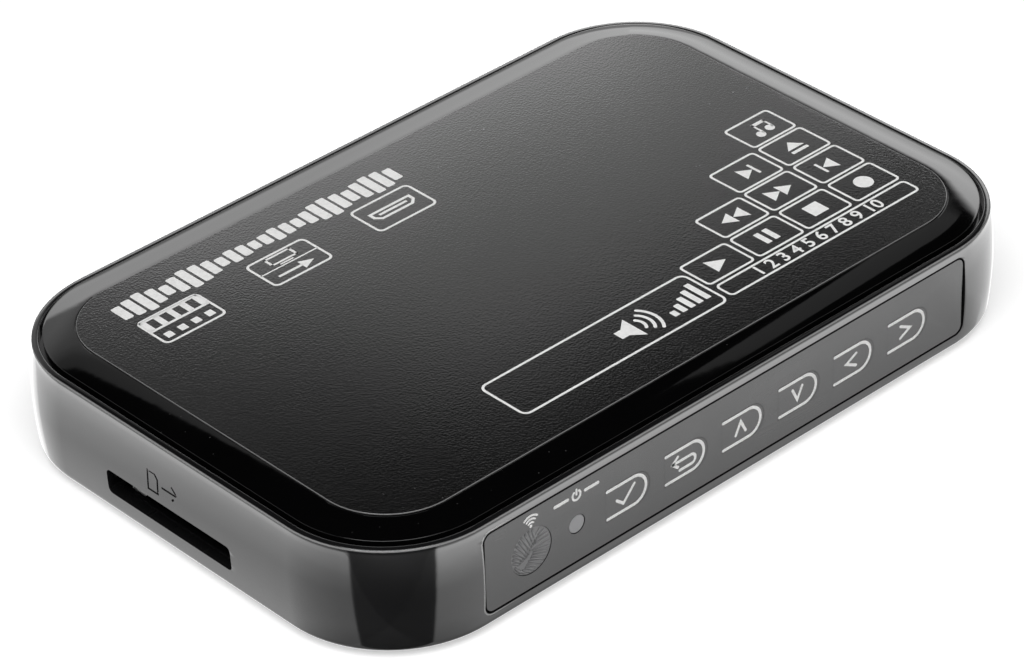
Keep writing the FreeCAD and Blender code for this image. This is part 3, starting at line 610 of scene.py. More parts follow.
def plated(name, colour, haze):
    """Sheet or turned metal with a faint rolled grain."""
    finish, tree, shader = new_finish(name, metallic=1.0)
    place = object_place(tree)
    rolled = node(tree, "ShaderNodeMapping", {"Scale": (0.08, 1.0, 1.0)})
    tree.links.new(place, rolled.inputs["Vector"])
    grains = noise(tree, rolled.outputs["Vector"], 900.0, 3.0)
    stain = ramp_between(tree, noise(tree, place, 160.0, 3.0), 0.35, 0.7)
    tree.links.new(mix_colour(tree, stain, tuple(c * 0.86 for c in colour), colour),
                   shader.inputs["Base Color"])
    tree.links.new(ramp_between(tree, grains, 0.2, 0.8, haze, haze + 0.16), shader.inputs["Roughness"])
    bump(tree, shader, grains, 0.004)
    return finish


board_green = printed_board("board_green", (0.012, 0.09, 0.035), (0.03, 0.17, 0.06))
screw_steel = plated("screw_steel", (0.56, 0.55, 0.53), 0.25)
dress(nodes["main_board"], board_green)
dress(nodes["board_screws"], screw_steel)

# ------------------------------
# Chips and the round parts on the board: epoxy cases, ferrite coils, tinned
# cans and an aluminium heat sink on a soft grey pad over the processor.
# ------------------------------
chip_black = moulded("chip_black", (0.018, 0.018, 0.019), haze=0.5, ripple=1.2, wear=0.1)
ferrite_grey = moulded("ferrite_grey", (0.05, 0.05, 0.053), haze=0.6, ripple=1.5, wear=0.2)
pad_grey = moulded("pad_grey", (0.25, 0.26, 0.27), haze=0.85, ripple=1.0, smudge=0.05)
sink_aluminium = plated("sink_aluminium", (0.73, 0.74, 0.75), 0.35)
can_aluminium = plated("can_aluminium", (0.8, 0.8, 0.79), 0.22)
crystal_can = plated("crystal_can", (0.68, 0.68, 0.66), 0.2)
for name in ("processor", "flash_chip", "memory_chips", "voltage_regulator", "remote_receiver"):
    dress(nodes[name], chip_black)
for name, finish in (("inductors", ferrite_grey), ("thermal_pad", pad_grey), ("crystal", crystal_can),
                     ("heat_sink", sink_aluminium), ("capacitors", can_aluminium)):
    dress(nodes[name], finish)

# ------------------------------
# Key switches and lamp: six push switches stand at the board's front edge,
# each with a white plunger, beside a clear round lamp on two bent legs.
# ------------------------------
switch_white = moulded("switch_white", (0.7, 0.7, 0.68), haze=0.4, ripple=0.5)
key_names = ["ok", "back", "up", "down", "left", "right"]
for name in key_names:
    dress(nodes[name + "_switch"], chip_black)
    dress(nodes[name + "_plunger"], switch_white)
led_clear, tree, shader = new_finish("led_clear")
shader.inputs["Transmission Weight"].default_value = 0.6
place = object_place(tree)
cloud = noise(tree, place, 700.0)
tree.links.new(mix_colour(tree, cloud, (0.75, 0.78, 0.8), (0.86, 0.88, 0.9)), shader.inputs["Base Color"])
tree.links.new(ramp_between(tree, cloud, 0.3, 0.7, 0.12, 0.3), shader.inputs["Roughness"])
dress(nodes["power_led"], led_clear)

# ------------------------------
# Card socket: a black tray under a folded steel shield, with nine gilt spring
# contacts, and a sprung slider that pushes the card out again.
# ------------------------------
insulator_black = moulded("insulator_black", (0.012, 0.012, 0.012), haze=0.45, ripple=0.6, dusty=0.05,
                          wear=0.1)
shell_steel = plated("shell_steel", (0.72, 0.72, 0.71), 0.18)
contact_gold = plated("contact_gold", (0.86, 0.62, 0.24), 0.2)
spring_steel = plated("spring_steel", (0.5, 0.5, 0.5), 0.3)
dress(nodes["card_socket_frame"], insulator_black)
dress(nodes["card_ejector"], insulator_black)
dress(nodes["card_socket_shield"], shell_steel)
dress(nodes["card_contacts"], contact_gold)

# Its coil spring is wound from a ring of wire.
coil_low, coil_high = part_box("ejector_spring")
wire, coil_radius, turns, ejector_travel = 0.2 * mm, 0.42 * mm, 9, 3.0 * mm
coil_length = coil_high[0] - coil_low[0]
coil_y, coil_z = [(coil_low[axis] + coil_high[axis]) / 2 for axis in (1, 2)]
bpy.ops.object.select_all(action="DESELECT")
bpy.ops.mesh.primitive_circle_add(vertices=10, radius=wire, location=(coil_low[0] + wire, coil_y, coil_z),
                                  rotation=(pi / 2, 0, 0))
coil = bpy.context.object
coil.name = coil.data.name = "ejector_coil"
edit_all(coil)
bpy.ops.transform.translate(value=(0, 0, coil_radius))
object_mode()
winding = coil.modifiers.new("winding", "SCREW")
winding.axis = "X"
winding.iterations = turns
winding.screw_offset = (coil_length - 2 * wire) / turns
winding.steps = winding.render_steps = 16
finish_modifiers(coil)
edit(coil, "EDGE")
bpy.ops.mesh.select_non_manifold()
bpy.ops.mesh.fill_holes(sides=10)
settle(coil)
face_out(coil)
fit_out(coil, spring_steel, "ejector_spring")
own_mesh(coil)

# ------------------------------
# Power socket: a moulded block with a round nose, soldered to the board. A
# plated steel pin with a round tip stands in the middle of its bore.
# ------------------------------
insulator_blue = moulded("insulator_blue", (0.02, 0.06, 0.32), haze=0.4, ripple=0.6, dusty=0.05, wear=0.1)
socket_face_y = 40.85
power_housing = block_about("power_housing", power_place, (4, 4), 0, 29.85, 38.85, 0.5, 3)
combine(power_housing, round_bar("nose", power_place, power_radius, 38.5, socket_face_y, Y), "UNION")
cut_away(power_housing, [round_bar("bore", power_place, 2.75, 31.35, far, Y)])
soften(power_housing, 0.1)
fit_out(power_housing, insulator_black, "power_socket")
power_pin = round_bar("power_pin", power_place, 0.85, 31.35, 39.35, Y, 32)
soften(power_pin, 0.4, 4)
fit_out(power_pin, shell_steel, "power_socket_pin")

# ------------------------------
# Flat socket: a folded steel case round a black insulator, whose tongue has
# four gilt contacts on its underside.
# ------------------------------
sheet = 0.3
core_inset = sheet + 0.02
usb_back_y = 26.85
usb_case = block_about("usb_case", usb_place, usb_half, 0, usb_back_y, socket_face_y, 0.6, 5)
cut_away(usb_case, [block_about("room", usb_place, usb_half, sheet, 20, far, 0.3, 4)])
soften(usb_case, 0.09)
fit_out(usb_case, shell_steel, "usb_shell")
usb_core = block_about("usb_core", usb_place, usb_half, core_inset, usb_back_y, 30.85, 0.3, 4)
tongue_block = rounded_block("tongue", (-29.6, 30.0, 8.5), (-18.5, 39.45, 10.4), X, 0.3, 3)
combine(usb_core, tongue_block, "UNION")
soften(usb_core, 0.12)
fit_out(usb_core, insulator_black, "usb_tongue")


def contact_row(name, places, width, low_y, high_y, low_z, high_z):
    """Flat contacts side by side: one is modelled, and the rest are its copies."""
    half = width / 2
    row = rounded_block(name, (places[0] - half, low_y, low_z), (places[0] + half, high_y, high_z), Y, 0)
    for last, x in zip(places, places[1:]):
        edit(row)
        pick(row, "FACE", lambda f: abs(f.calc_center_median().x / mm - last) < width)
        bpy.ops.mesh.duplicate_move(TRANSFORM_OT_translate={"value": ((x - last) * mm, 0, 0)})
    object_mode()
    soften(row, 0.03)
    return row


usb_contacts = contact_row("usb_contacts", [-27.55, -25.05, -23.05, -20.55], 1.1, 31.5, 39.0, 8.36, 8.56)
fit_out(usb_contacts, contact_gold)

# ------------------------------
# Screen socket: a steel case with two corners cut off, round a thin tongue
# that carries gilt contacts on both of its faces.
# ------------------------------
video_x, video_z = video_place
video_back_y = 29.35


def bar_of(name, outline, low_y, high_y):
    """A bar along Y with this outline in X and Z."""
    piece = start_dot(name, (outline[0][0], low_y, outline[0][1]))
    draw_on([(x, low_y, z) for x, z in outline])
    bpy.ops.mesh.select_linked()
    bpy.ops.mesh.edge_face_add()
    pull(0, high_y - low_y, 0)
    face_out(piece)
    return piece


def cut_corner_outline(inset):
    half_x, half_z, corner = video_half[0] - inset, video_half[1] - inset, 1.5
    points = [(-half_x + corner, -half_z), (half_x - corner, -half_z), (half_x, -half_z + corner),
              (half_x, half_z), (-half_x, half_z), (-half_x, -half_z + corner)]
    return [(video_x + x, video_z + z) for x, z in points]


video_case = bar_of("video_case", cut_corner_outline(0), video_back_y, socket_face_y)
cut_away(video_case, [bar_of("room", cut_corner_outline(sheet), 20, far)])
soften(video_case, 0.1)
fit_out(video_case, shell_steel, "hdmi_shell")
video_core = bar_of("video_core", cut_corner_outline(core_inset), video_back_y, 32.85)
tongue_block = rounded_block("tongue", (video_x - 5.8, 32.0, 7.8), (video_x + 5.8, 38.85, 8.9), X, 0.25, 3)
combine(video_core, tongue_block, "UNION")
soften(video_core, 0.1)
fit_out(video_core, insulator_black, "hdmi_tongue")
for side, low_z, count in (("under", 7.74, 9), ("over", 8.84, 10)):
    places = [video_x + number - (count - 1) / 2 for number in range(count)]
    row = contact_row("video_contacts_" + side, places, 0.5, 33.2, 38.5, low_z, low_z + 0.12)
    fit_out(row, contact_gold)

# ------------------------------
# Monitor socket: a plated steel front with a D-shaped collar and two
# six-sided posts, round a blue insulator with fifteen pin holes.
# ------------------------------
monitor_x, monitor_z = monitor_place
flange_y, flange_sheet, core_face_y = 35.25, 0.8, 40.05
bore_radius = 1.4
collar_half_z = 4.0
lean = collar_half_z * tan(radians(10))


def d_bar(name, inset, low_y, high_y):
    """A bar along Y whose sides lean in towards the bottom."""
    half_x, half_z = 8.2 - lean - inset, collar_half_z - inset
    reach = lean * half_z / collar_half_z
    low_x, high_x = half_x - reach, half_x + reach
    corners = [(-low_x, -half_z), (low_x, -half_z), (high_x, half_z), (-high_x, half_z)]
    piece = bar_of(name, [(monitor_x + x, monitor_z + z) for x, z in corners], low_y, high_y)
    radius = 2.0 - inset
    for above, half_angle in ((True, radians(40)), (False, radians(50))):
        edit(piece)
        pick(piece, "EDGE", lambda e: along(e, Y) and (middle(e).z > monitor_z) == above)
        bpy.ops.mesh.bevel(offset=radius / tan(half_angle) * mm, segments=8, affect="EDGES")
    object_mode()
    return piece


post_places = [monitor_x - 12.495, monitor_x + 12.495]
monitor_front = block_about("monitor_front", monitor_place, flange_half, 0, flange_y - flange_sheet,
                            flange_y, 1.0, 5)
combine(monitor_front, d_bar("collar", 0.0, flange_y - 0.5, socket_face_y), "UNION")
cut_away(monitor_front, [d_bar("room", sheet, 20, far)]
         + [round_bar("bore", (x, monitor_z), bore_radius, 20, far, Y, 32) for x in post_places])
soften(monitor_front, 0.1)
fit_out(monitor_front, shell_steel, "vga_shell")

monitor_core = d_bar("monitor_core", core_inset, flange_y - flange_sheet, core_face_y)
pin_pitch, row_pitch, row_step = 2.29, 1.98, 0.5725
for row in range(3):
    for number in range(5):
        x = monitor_x + (number - 2) * pin_pitch + (row_step if row % 2 else -row_step)
        place = (x, monitor_z + (row - 1) * row_pitch)
        cut_away(monitor_core, [round_bar("pin_hole", place, 0.55, 36.05, far, Y, 20)])
soften(monitor_core, 0.1)
fit_out(monitor_core, insulator_blue, "vga_insert")

posts = []
for x in post_places:
    post = round_bar("monitor_posts", (x, monitor_z), 2.5, flange_y, core_face_y, Y, 6)
    cut_away(post, [round_bar("bore", (x, monitor_z), bore_radius, 20, far, Y, 32)])
    cone_top_y = core_face_y + 0.01
    cone = round_bar("cone", (x, monitor_z), 2.75, flange_y, cone_top_y, Y, 48)
    edit(cone)
    pick(cone, "FACE", lambda f: f.normal.y > 0.9)
    bpy.ops.transform.resize(value=(0.82, 1, 0.82),
                             center_override=(x * mm, cone_top_y * mm, monitor_z * mm))
    pick(cone, "FACE", lambda f: f.normal.y < -0.9)
    bpy.ops.transform.resize(value=(1.5, 1, 1.5), center_override=(x * mm, 0, monitor_z * mm))
    object_mode()
    combine(post, cone, "INTERSECT")
    soften(post, 0.06)
    posts.append(post)
monitor_posts = joined(posts)
fit_out(monitor_posts, screw_steel, "vga_posts")
dress(nodes["vga_body"], insulator_black)

# ------------------------------
# Sound socket: a black block behind a turned steel collar, whose rounded face
# fills its hole in the wall.
# ------------------------------
dress(nodes["av_socket"], insulator_black)
sound_collar = round_bar("sound_collar", sound_place, sound_radius, 38.65, socket_face_y, Y)
cut_away(sound_collar, [round_bar("bore", sound_place, 1.8, 30, far, Y)])
soften(sound_collar, 0.22, 4)
fit_out(sound_collar, shell_steel, "av_collar")

# ------------------------------
# Ground clip: a small bright tab folded down from under the card socket's
# front, which shows through the slot in the wall.
# ------------------------------
ground_clip = rounded_block("ground_clip", (-60.1, 9.3, 3.8), (-59.8, 12.5, 5.55), X, 0.2, 3)
edit(ground_clip)
pick(ground_clip, "VERT", lambda v: v.co.z < 4.5 * mm)
shift(-0.6, 0, 0)
pick(ground_clip, "VERT", lambda v: v.co.z < 4.5 * mm and v.co.y > 11 * mm)
shift(0, -0.45, 0)
object_mode()
soften(ground_clip, 0.06)
fit_out(ground_clip, shell_steel)

# ------------------------------
# Front panel: a 1.4 mm strip of black plastic, pressed into its seat in the
# front wall. Six tongues for the keys are cut free in it, thinned behind their
# hinges, and it is bored for the receiver's window and the lamp.
# ------------------------------
key_z = 9.12
key_half = 2.55            # half height of a tongue
key_reach = 8.1            # from the hinge to the round tip
key_slit = 0.06
key_pitch = 10.87
key_roots = [-23.65 + key_pitch * number for number in range(6)]
window_x, window_radius = -37.1, 3.55
lamp_x, lens_radius = -28.9, 1.4
bore_gap = 0.05


def tongue(name, root, grow, front_y, back_y, start):
    """A block with a round right end: the shape of a key's tongue."""
    half = key_half + grow
    tip = key_reach + grow
    piece = rounded_block(name, (root + start, front_y, key_z - half),
                          (root + tip, back_y, key_z + half), Y, 0)
    edit(piece)
    pick(piece, "EDGE", lambda e: along(e, Y) and middle(e).x > root + tip - 0.01)
    bpy.ops.mesh.bevel(offset=half * 0.999 * mm, segments=16, affect="EDGES")
    object_mode()
    return piece


panel = rounded_block("panel", (panel_low[0], panel_face_y, panel_low[1]),
                      (panel_high[0], panel_back_y, panel_high[1]), Y, 1.3, 8)
soften(panel, 0.05, 3)
tools = [tongue("slit", root, key_slit, -far, 0, 0.0) for root in key_roots]
tools += [rounded_block("notch", (root - 0.6, panel_face_y + 0.5, key_z - key_half - key_slit),
                        (root + 0.1, 0, key_z + key_half + key_slit), Y, 0) for root in key_roots]
tools += [round_bar("window_way", (window_x, key_z), window_radius + bore_gap, -far, 0, Y, 96),
          round_bar("lamp_way", (lamp_x, key_z), lens_radius + bore_gap, -far, 0, Y)]
cut_away(panel, tools)
soften(panel, 0.02, 1)
panel_black = moulded("panel_black", (0.016, 0.016, 0.0165), haze=0.2, ripple=0.6, smudge=0.05,
                      dusty=0.05, wear=0.3)
# Its left end face, inside the gap, is painted near black with little shine: painted shade.
tree = panel_black.node_tree
painted_gap_shade = ramp_between(tree, axes_of(tree, object_place(tree))["X"], -0.04527, -0.04524, 1.0, 0.0)
repaint(panel_black, painted_gap_shade, (0.002, 0.002, 0.002))
tree.links.new(ramp_between(tree, painted_gap_shade, 0.0, 1.0, 0.5, 0.02),
               shader_of(panel_black).inputs["Specular IOR Level"])
fit_out(panel, panel_black, "front_panel")

# ------------------------------
# Receiver window: a smoked grey disc in the panel's large bore, held by a wider
# collar behind it. Fine ribs like the barbs of a feather stand on its face.
# ------------------------------
collar_radius = 4.35
window = round_bar("window_disc", (window_x, key_z), window_radius, panel_face_y + 0.08,
                   panel_back_y, Y, 96)
edit(window)
pick(window, "FACE", lambda f: f.normal.y > 0.9)
bpy.ops.mesh.inset(thickness=0.0, use_outset=False)
pull(0, 0.5, 0)
wider = collar_radius / window_radius
bpy.ops.transform.resize(value=(wider, 1, wider),
                         center_override=(window_x * mm, panel_back_y * mm, key_z * mm))
object_mode()
soften(window, 0.05, 2)

# Each rib: from and to, across and up from the window's middle.
barbs = [((0.22, 3.4), (0.89, 0.91)), ((-0.44, 3.4), (0.56, 0.69)), ((-1.1, 3.25), (0.22, 0.47)),
         ((-1.72, 2.98), (-0.06, 0.02)), ((-2.2, 2.6), (-0.33, -0.42)), ((-2.65, 2.1), (-0.6, -0.64)),
         ((-3.05, 1.45), (-0.94, -0.8)), ((-3.25, 0.9), (-1.3, -0.92)), ((-3.35, 0.24), (-1.8, -1.03)),
         ((-3.35, -0.4), (-2.2, -1.14)), ((0.9, 1.47), (3.0, 1.47)), ((0.67, 0.8), (3.25, 0.8)),
         ((0.1, 0.02), (3.38, 0.02)), ((0.33, -0.2), (3.25, -0.85)), ((0.22, -0.5), (3.0, -1.5)),
         ((0.0, -0.8), (2.65, -2.0)), ((-0.22, -1.1), (2.2, -2.5)), ((-0.56, -1.4), (1.7, -2.9)),
         ((-0.9, -1.75), (1.1, -3.15)), ((-1.2, -2.1), (0.4, -3.3)), ((-1.67, -2.3), (-0.3, -3.3)),
         ((-2.2, -1.2), (1.6, 2.9)), ((-2.75, -1.6), (-1.2, -3.1)), ((1.2, 1.9), (2.4, 2.3)),
         ((-3.0, -1.2), (-2.0, -2.6))]
ribs = []
for (ax, az), (bx, bz) in barbs:
    bpy.ops.object.select_all(action="DESELECT")
    bpy.ops.mesh.primitive_cylinder_add(
        vertices=10, radius=mm, depth=hypot(bx - ax, bz - az) * mm,
        location=((window_x + (ax + bx) / 2) * mm, (panel_face_y + 0.09) * mm, (key_z + (az + bz) / 2) * mm),
        rotation=(0, pi / 2 - atan2(bz - az, bx - ax), 0), scale=(0.19, 0.075, 1))
    rib = newest("rib")
    edit(rib)
    pick(rib, "FACE", lambda f: len(f.verts) > 4)
    bpy.ops.mesh.bevel(offset=0.06 * mm, segments=1, affect="EDGES")
    object_mode()
    bpy.ops.object.shade_smooth_by_angle(angle=radians(50))
    ribs.append(rib)
joined([window] + ribs)
window_grey = moulded("window_grey", (0.09, 0.09, 0.092), haze=0.35, ripple=0.4, smudge=0.05)
fit_out(window, window_grey, "receiver_window")

# ------------------------------
# Lamp lens: a short pale light guide pushed through the panel's small bore
# from behind, in front of the lamp. Its face is flat and a little sunk.
# ------------------------------
lens = round_bar("lamp_guide", (lamp_x, key_z), lens_radius, panel_face_y + 0.06, panel_back_y + 0.5, Y)
soften(lens, 0.12, 3)
lens_grey = moulded("lens_grey", (0.24, 0.24, 0.247), haze=0.4, ripple=0.4, smudge=0.05)
fit_out(lens, lens_grey, "lamp_lens")

# ------------------------------
# Keys: six tongues of the panel's own plastic, each left standing on a thin
# hinge at its left end. A rib behind the round tip presses the switch.
# ------------------------------
first_root = key_roots[0]
first_key = tongue("key", first_root, 0, panel_face_y, panel_back_y, 0.02)
edit(first_key)
pick(first_key, "FACE", lambda f: f.normal.y > 0.9)
bpy.ops.mesh.inset(thickness=0.35 * mm)
pull(0, -0.25, 0)
object_mode()
soften(first_key, 0.02, 1)
rib_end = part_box("ok_plunger")[0].y / mm - 0.1
rib = rounded_block("rib", (first_root + 4.8, panel_back_y - 0.3, key_z - 1.2),
                    (first_root + 5.8, rib_end, key_z + 1.2), Y, 0.2, 3)
soften(rib, 0.08, 2)
joined([first_key, rib])
keys = copied_along(first_key, [(root - first_root, 0, 0) for root in key_roots[1:]])
for name, key in zip(key_names, keys):
    key.name = key.data.name = name + "_key_tongue"
    fit_out(key, panel_black, name + "_key", name + "_key")

# ------------------------------
# Marks on the front: white ink, screen-printed on the panel and the keys.
# Each key has an open outline and a plain sign in it; the window and the lamp
# have a small sign above them.
# ------------------------------
ink_depth = 0.03


def stroke_outline(points, width):
    """The outline of a line of some width with round ends, drawn through points."""
    half = width / 2
    left, right = [], []
    for number, (x, y) in enumerate(points):
        before = points[max(number - 1, 0)]
        after = points[min(number + 1, len(points) - 1)]
        first = atan2(y - before[1], x - before[0]) if number else None
        last = atan2(after[1] - y, after[0] - x) if number < len(points) - 1 else None
        first = last if first is None else first
        last = first if last is None else last
        bend = (last - first + pi) % (2 * pi) - pi
        turn = first + bend / 2 + pi / 2
        reach = half / max(0.35, cos(bend / 2))
        left.append((x + reach * cos(turn), y + reach * sin(turn)))
        right.append((x - reach * cos(turn), y - reach * sin(turn)))
    ends = []
    for tip, back in ((points[-1], points[-2]), (points[0], points[1])):
        heading = atan2(tip[1] - back[1], tip[0] - back[0])
        ends.append([(tip[0] + half * cos(heading + pi / 2 - pi * n / 6),
                      tip[1] + half * sin(heading + pi / 2 - pi * n / 6)) for n in range(1, 6)])
    return left + ends[0] + right[::-1] + ends[1]


def flat_mark(name, outlines):
    """Draws each outline in a flat plane, fills it and gives it the ink's depth."""
    piece = None
    for outline in outlines:
        points = [(x, y, 0) for x, y in outline]
        if piece is None:
            piece = start_dot(name, points[0])
        else:
            bpy.ops.mesh.select_all(action="DESELECT")
            bpy.ops.mesh.primitive_plane_add(size=mm, location=[value * mm for value in points[0]])
            bpy.ops.mesh.merge(type="CENTER")
        draw_on(points)
        bpy.ops.mesh.select_linked()
        bpy.ops.mesh.edge_face_add()
    bpy.ops.mesh.select_all(action="SELECT")
    bpy.ops.mesh.normals_make_consistent(inside=False)
    pull(0, 0, ink_depth)
    face_out(piece)
    return piece


def ring_arc(x, y, radius, first, last, steps):
    """Points round part of a circle, angles in degrees."""
    return [(x + radius * cos(radians(first + (last - first) * n / steps)),
             y + radius * sin(radians(first + (last - first) * n / steps))) for n in range(steps + 1)]


def on_front(piece, x, z, body):
    """Stands a flat mark up on the front, its ink showing to the front."""
    piece.rotation_euler = (pi / 2, 0, 0)
    piece.location = (x * mm, panel_face_y * mm, z * mm)
    settle(piece)
    fit_out(piece, ink_white, body=body)


ink_white, tree, shader = new_finish("ink_white")
place = object_place(tree)
cover_of_ink = ramp_between(tree, noise(tree, place, 1800.0, 3.0), 0.25, 0.55)
tree.links.new(mix_colour(tree, cover_of_ink, (0.8, 0.8, 0.79), (0.92, 0.92, 0.91)),
               shader.inputs["Base Color"])
tree.links.new(ramp_between(tree, noise(tree, place, 500.0), 0.2, 0.8, 0.4, 0.6),
               shader.inputs["Roughness"])
bump(tree, shader, noise(tree, place, 3500.0), 0.01)

bend_x = 7.15 - 2.25
outline_of_key = [(0.0, -2.25), (bend_x, -2.25)] + ring_arc(bend_x, 0, 2.25, -82, 82, 16) \
    + [(bend_x, 2.25), (0.0, 2.25)]
signs = {
    "ok": [[(1.75, -0.05), (2.95, -1.05), (5.0, 1.15)]],
    "back": [[(1.3, 0.35), (4.8, 0.35)] + ring_arc(4.8, -0.4, 0.75, 70, -90, 8) + [(2.6, -1.15)],
             [(2.25, 1.2), (1.25, 0.35), (2.25, -0.5)]],
    "up": [[(2.4, -0.95), (3.35, 0.95), (4.3, -0.95)]],
    "down": [[(2.55, 0.95), (3.5, -0.95), (4.45, 0.95)]],
    "left": [[(4.3, -1.0), (2.35, 0.0), (4.3, 1.0)]],
    "right": [[(2.4, -1.0), (4.35, 0.0), (2.4, 1.0)]],
}
for name, root in zip(key_names, key_roots):
    lines = [stroke_outline(outline_of_key, 0.46)]
    lines += [stroke_outline(points, 0.44) for points in signs[name]]
    on_front(flat_mark(name + "_key_mark", lines), root + 0.27, key_z, name + "_key")

standby = [stroke_outline(ring_arc(0, -0.05, 0.72, 128, 412, 18), 0.34),
           stroke_outline([(0, 0.1), (0, 0.85)], 0.34),
           stroke_outline([(-3.9, 0), (-1.6, 0)], 0.5), stroke_outline([(1.6, 0), (3.9, 0)], 0.5)]
on_front(flat_mark("lamp_mark", standby), lamp_x, 13.85, "player")
waves = [stroke_outline(ring_arc(0, -1.0, radius, 48, 132, 8), 0.3) for radius in (0.62, 1.16, 1.7)]
waves.append([(0.25 * cos(radians(a)), -0.95 + 0.25 * sin(radians(a))) for a in range(0, 360, 30)])
on_front(flat_mark("window_mark", waves), window_x, 14.1, "player")


# ------------------------------
# Cover: a polished black ABS lid that sits on the casing's ledge with an open
# seam round it. Its border climbs in a soft arc to a level middle, where a
# shallow pocket takes the top plate. It is held by four screws from below.
# ------------------------------
cover_top_z = 18.35
plate_under_z = 18.0
border = arc((-1.6, 17.7), (-4.05, 18.19), (-6.5, cover_top_z), 16)
border = [point for point in border if point[0] < -1.85]
section = [(-2.9, 16.9), (-2.9, ledge_z), (-1.6, ledge_z), (-1.6, 17.66), (-1.615, 17.69),
           (-1.66, 17.715)] + border
cover = sweep_round("cover", section, 12, 9, 20)
fill_ring(cover, 16.9)
fill_ring(cover, cover_top_z)
face_out(cover)
pocket_x, pocket_y, pocket_radius = 56.58, 34.78, 10.88
cut_away(cover, [rounded_block("pocket", (-pocket_x, -pocket_y, plate_under_z), (pocket_x, pocket_y, far),
                               Z, pocket_radius, 24)])
soften(cover, 0.03, 2)
cover_black = moulded("cover_black", (0.0016, 0.0016, 0.0017), haze=0.05, ripple=0.4, smudge=0.04,
                      dusty=0.12, wear=0.12)
fit_out(cover, cover_black, "top_cover")

# ------------------------------
# Top plate: a 0.6 mm sheet bonded in the cover's pocket and standing 0.25 mm
# proud. Its face is moulded with a fine leather-like grain, and a pale band
# round its edge is a painted highlight.
# ------------------------------
plate_top_z = 18.585
pocket_gap = 0.08
plate_x, plate_y = pocket_x - pocket_gap, pocket_y - pocket_gap
plate = rounded_block("plate", (-plate_x, -plate_y, plate_under_z), (plate_x, plate_y, plate_top_z), Z,
                      pocket_radius - pocket_gap, 24)
edit(plate)
pick(plate, "EDGE", lambda e: abs(middle(e).z - plate_top_z) < 0.01)
bpy.ops.mesh.bevel(offset=0.15 * mm, segments=3, affect="EDGES")
object_mode()
soften(plate, 0.03, 1, 60)

# Grain: closely set soft pebbles with finer creases between them.
grain, given, result = effect("leather_grain", [("Pebble", 900.0), ("Crease", 2200.0)],
                              ["Height", "Tone"])
place = object_place(grain)
pebble = node(grain, "ShaderNodeTexVoronoi", feature="SMOOTH_F1")
pebble.inputs["Smoothness"].default_value = 0.6
warp = node(grain, "ShaderNodeTexNoise", {"Scale": 1500.0, "Detail": 2.0})
grain.links.new(place, warp.inputs["Vector"])
wander = node(grain, "ShaderNodeVectorMath", {"Scale": 0.0004}, operation="SCALE")
grain.links.new(warp.outputs["Color"], wander.inputs[0])
moved = node(grain, "ShaderNodeVectorMath", operation="ADD")
grain.links.new(place, moved.inputs[0])
grain.links.new(wander.outputs[0], moved.inputs[1])
grain.links.new(moved.outputs[0], pebble.inputs["Vector"])
grain.links.new(given.outputs["Pebble"], pebble.inputs["Scale"])
crease = node(grain, "ShaderNodeTexNoise", {"Detail": 3.0})
grain.links.new(place, crease.inputs["Vector"])
grain.links.new(given.outputs["Crease"], crease.inputs["Scale"])
rise = ramp_between(grain, pebble.outputs["Distance"], 0.0, 0.7, 1.0, 0.0)
height = sum_of(grain, "ADD", rise, times(grain, crease.outputs["Fac"], 0.45))
grain.links.new(height, result.inputs["Height"])
grain.links.new(ramp_between(grain, height, 0.3, 1.2), result.inputs["Tone"])

plate_black, tree, shader = new_finish("plate_black")
leather = use_effect(tree, grain, Pebble=2900.0, Crease=5200.0)
place = object_place(tree)
wide = ramp_between(tree, noise(tree, place, 160.0, 3.0, 0.6), 0.3, 0.7)
flow = mix_colour(tree, wide, (0.003, 0.003, 0.0031), (0.0042, 0.0042, 0.0043))
toned = mix_colour(tree, leather.outputs["Tone"], (0.0015, 0.0015, 0.0015), flow)
rubbed = use_effect(tree, worn, Amount=1.0).outputs["Mask"]
edges = mix_colour(tree, rubbed, toned, (0.1, 0.1, 0.1))
# A pale band round the plate's edge: a painted highlight.
painted_edge_highlight = band(tree, axes_of(tree, place)["Z"], 0.01843, 0.01846, 0.018555, 0.018575)
edges = mix_colour(tree, painted_edge_highlight, edges, (0.2, 0.2, 0.2))
specks = use_effect(tree, dust, Amount=0.2).outputs["Mask"]
tree.links.new(mix_colour(tree, specks, edges, (0.45, 0.45, 0.44)), shader.inputs["Base Color"])
rough = ramp_between(tree, leather.outputs["Tone"], 0.0, 1.0, 0.15, 0.09)
tree.links.new(rough, shader.inputs["Roughness"])
bump(tree, shader, leather.outputs["Height"], 0.008)
fit_out(plate, plate_black, "top_plate")

# ------------------------------
# Marks on the plate: white ink again. A row of sound bars stands where a title
# would, with framed signs for what the player handles below it; at the other
# end are ten small framed signs, a row of plain numbers and an empty label.
# ------------------------------
ink_low_z = plate_top_z - 0.015
corner_steps = 5


def rounded_outline(x0, x1, y0, y1, radius, steps=corner_steps):
    """The outline of a rectangle with round corners."""
    points = []
    for cx, cy, first in ((x1 - radius, y0 + radius, -90), (x1 - radius, y1 - radius, 0),
                          (x0 + radius, y1 - radius, 90), (x0 + radius, y0 + radius, 180)):
        points += ring_arc(cx, cy, radius, first, first + 90, steps)
    return points


def frame_line(name, x0, x1, y0, y1, radius, line=0.38):
    """A rounded rectangle drawn as a line: filled, inset and hollowed."""
    start = (x1, (y0 + y1) / 2, 0)
    outline = [(x, y, 0) for x, y in rounded_outline(x0, x1, y0, y1, radius)]
    piece = start_dot(name, start)
    draw_on([start] + outline[corner_steps + 1:] + outline[:corner_steps + 1])
    bpy.ops.mesh.select_linked()
    bpy.ops.mesh.edge_face_add()
    bpy.ops.mesh.inset(thickness=line * mm)
    bpy.ops.mesh.delete(type="FACE")
    bpy.ops.mesh.select_all(action="SELECT")
    bpy.ops.mesh.normals_make_consistent(inside=False)
    pull(0, 0, ink_depth)
    face_out(piece)
    return piece


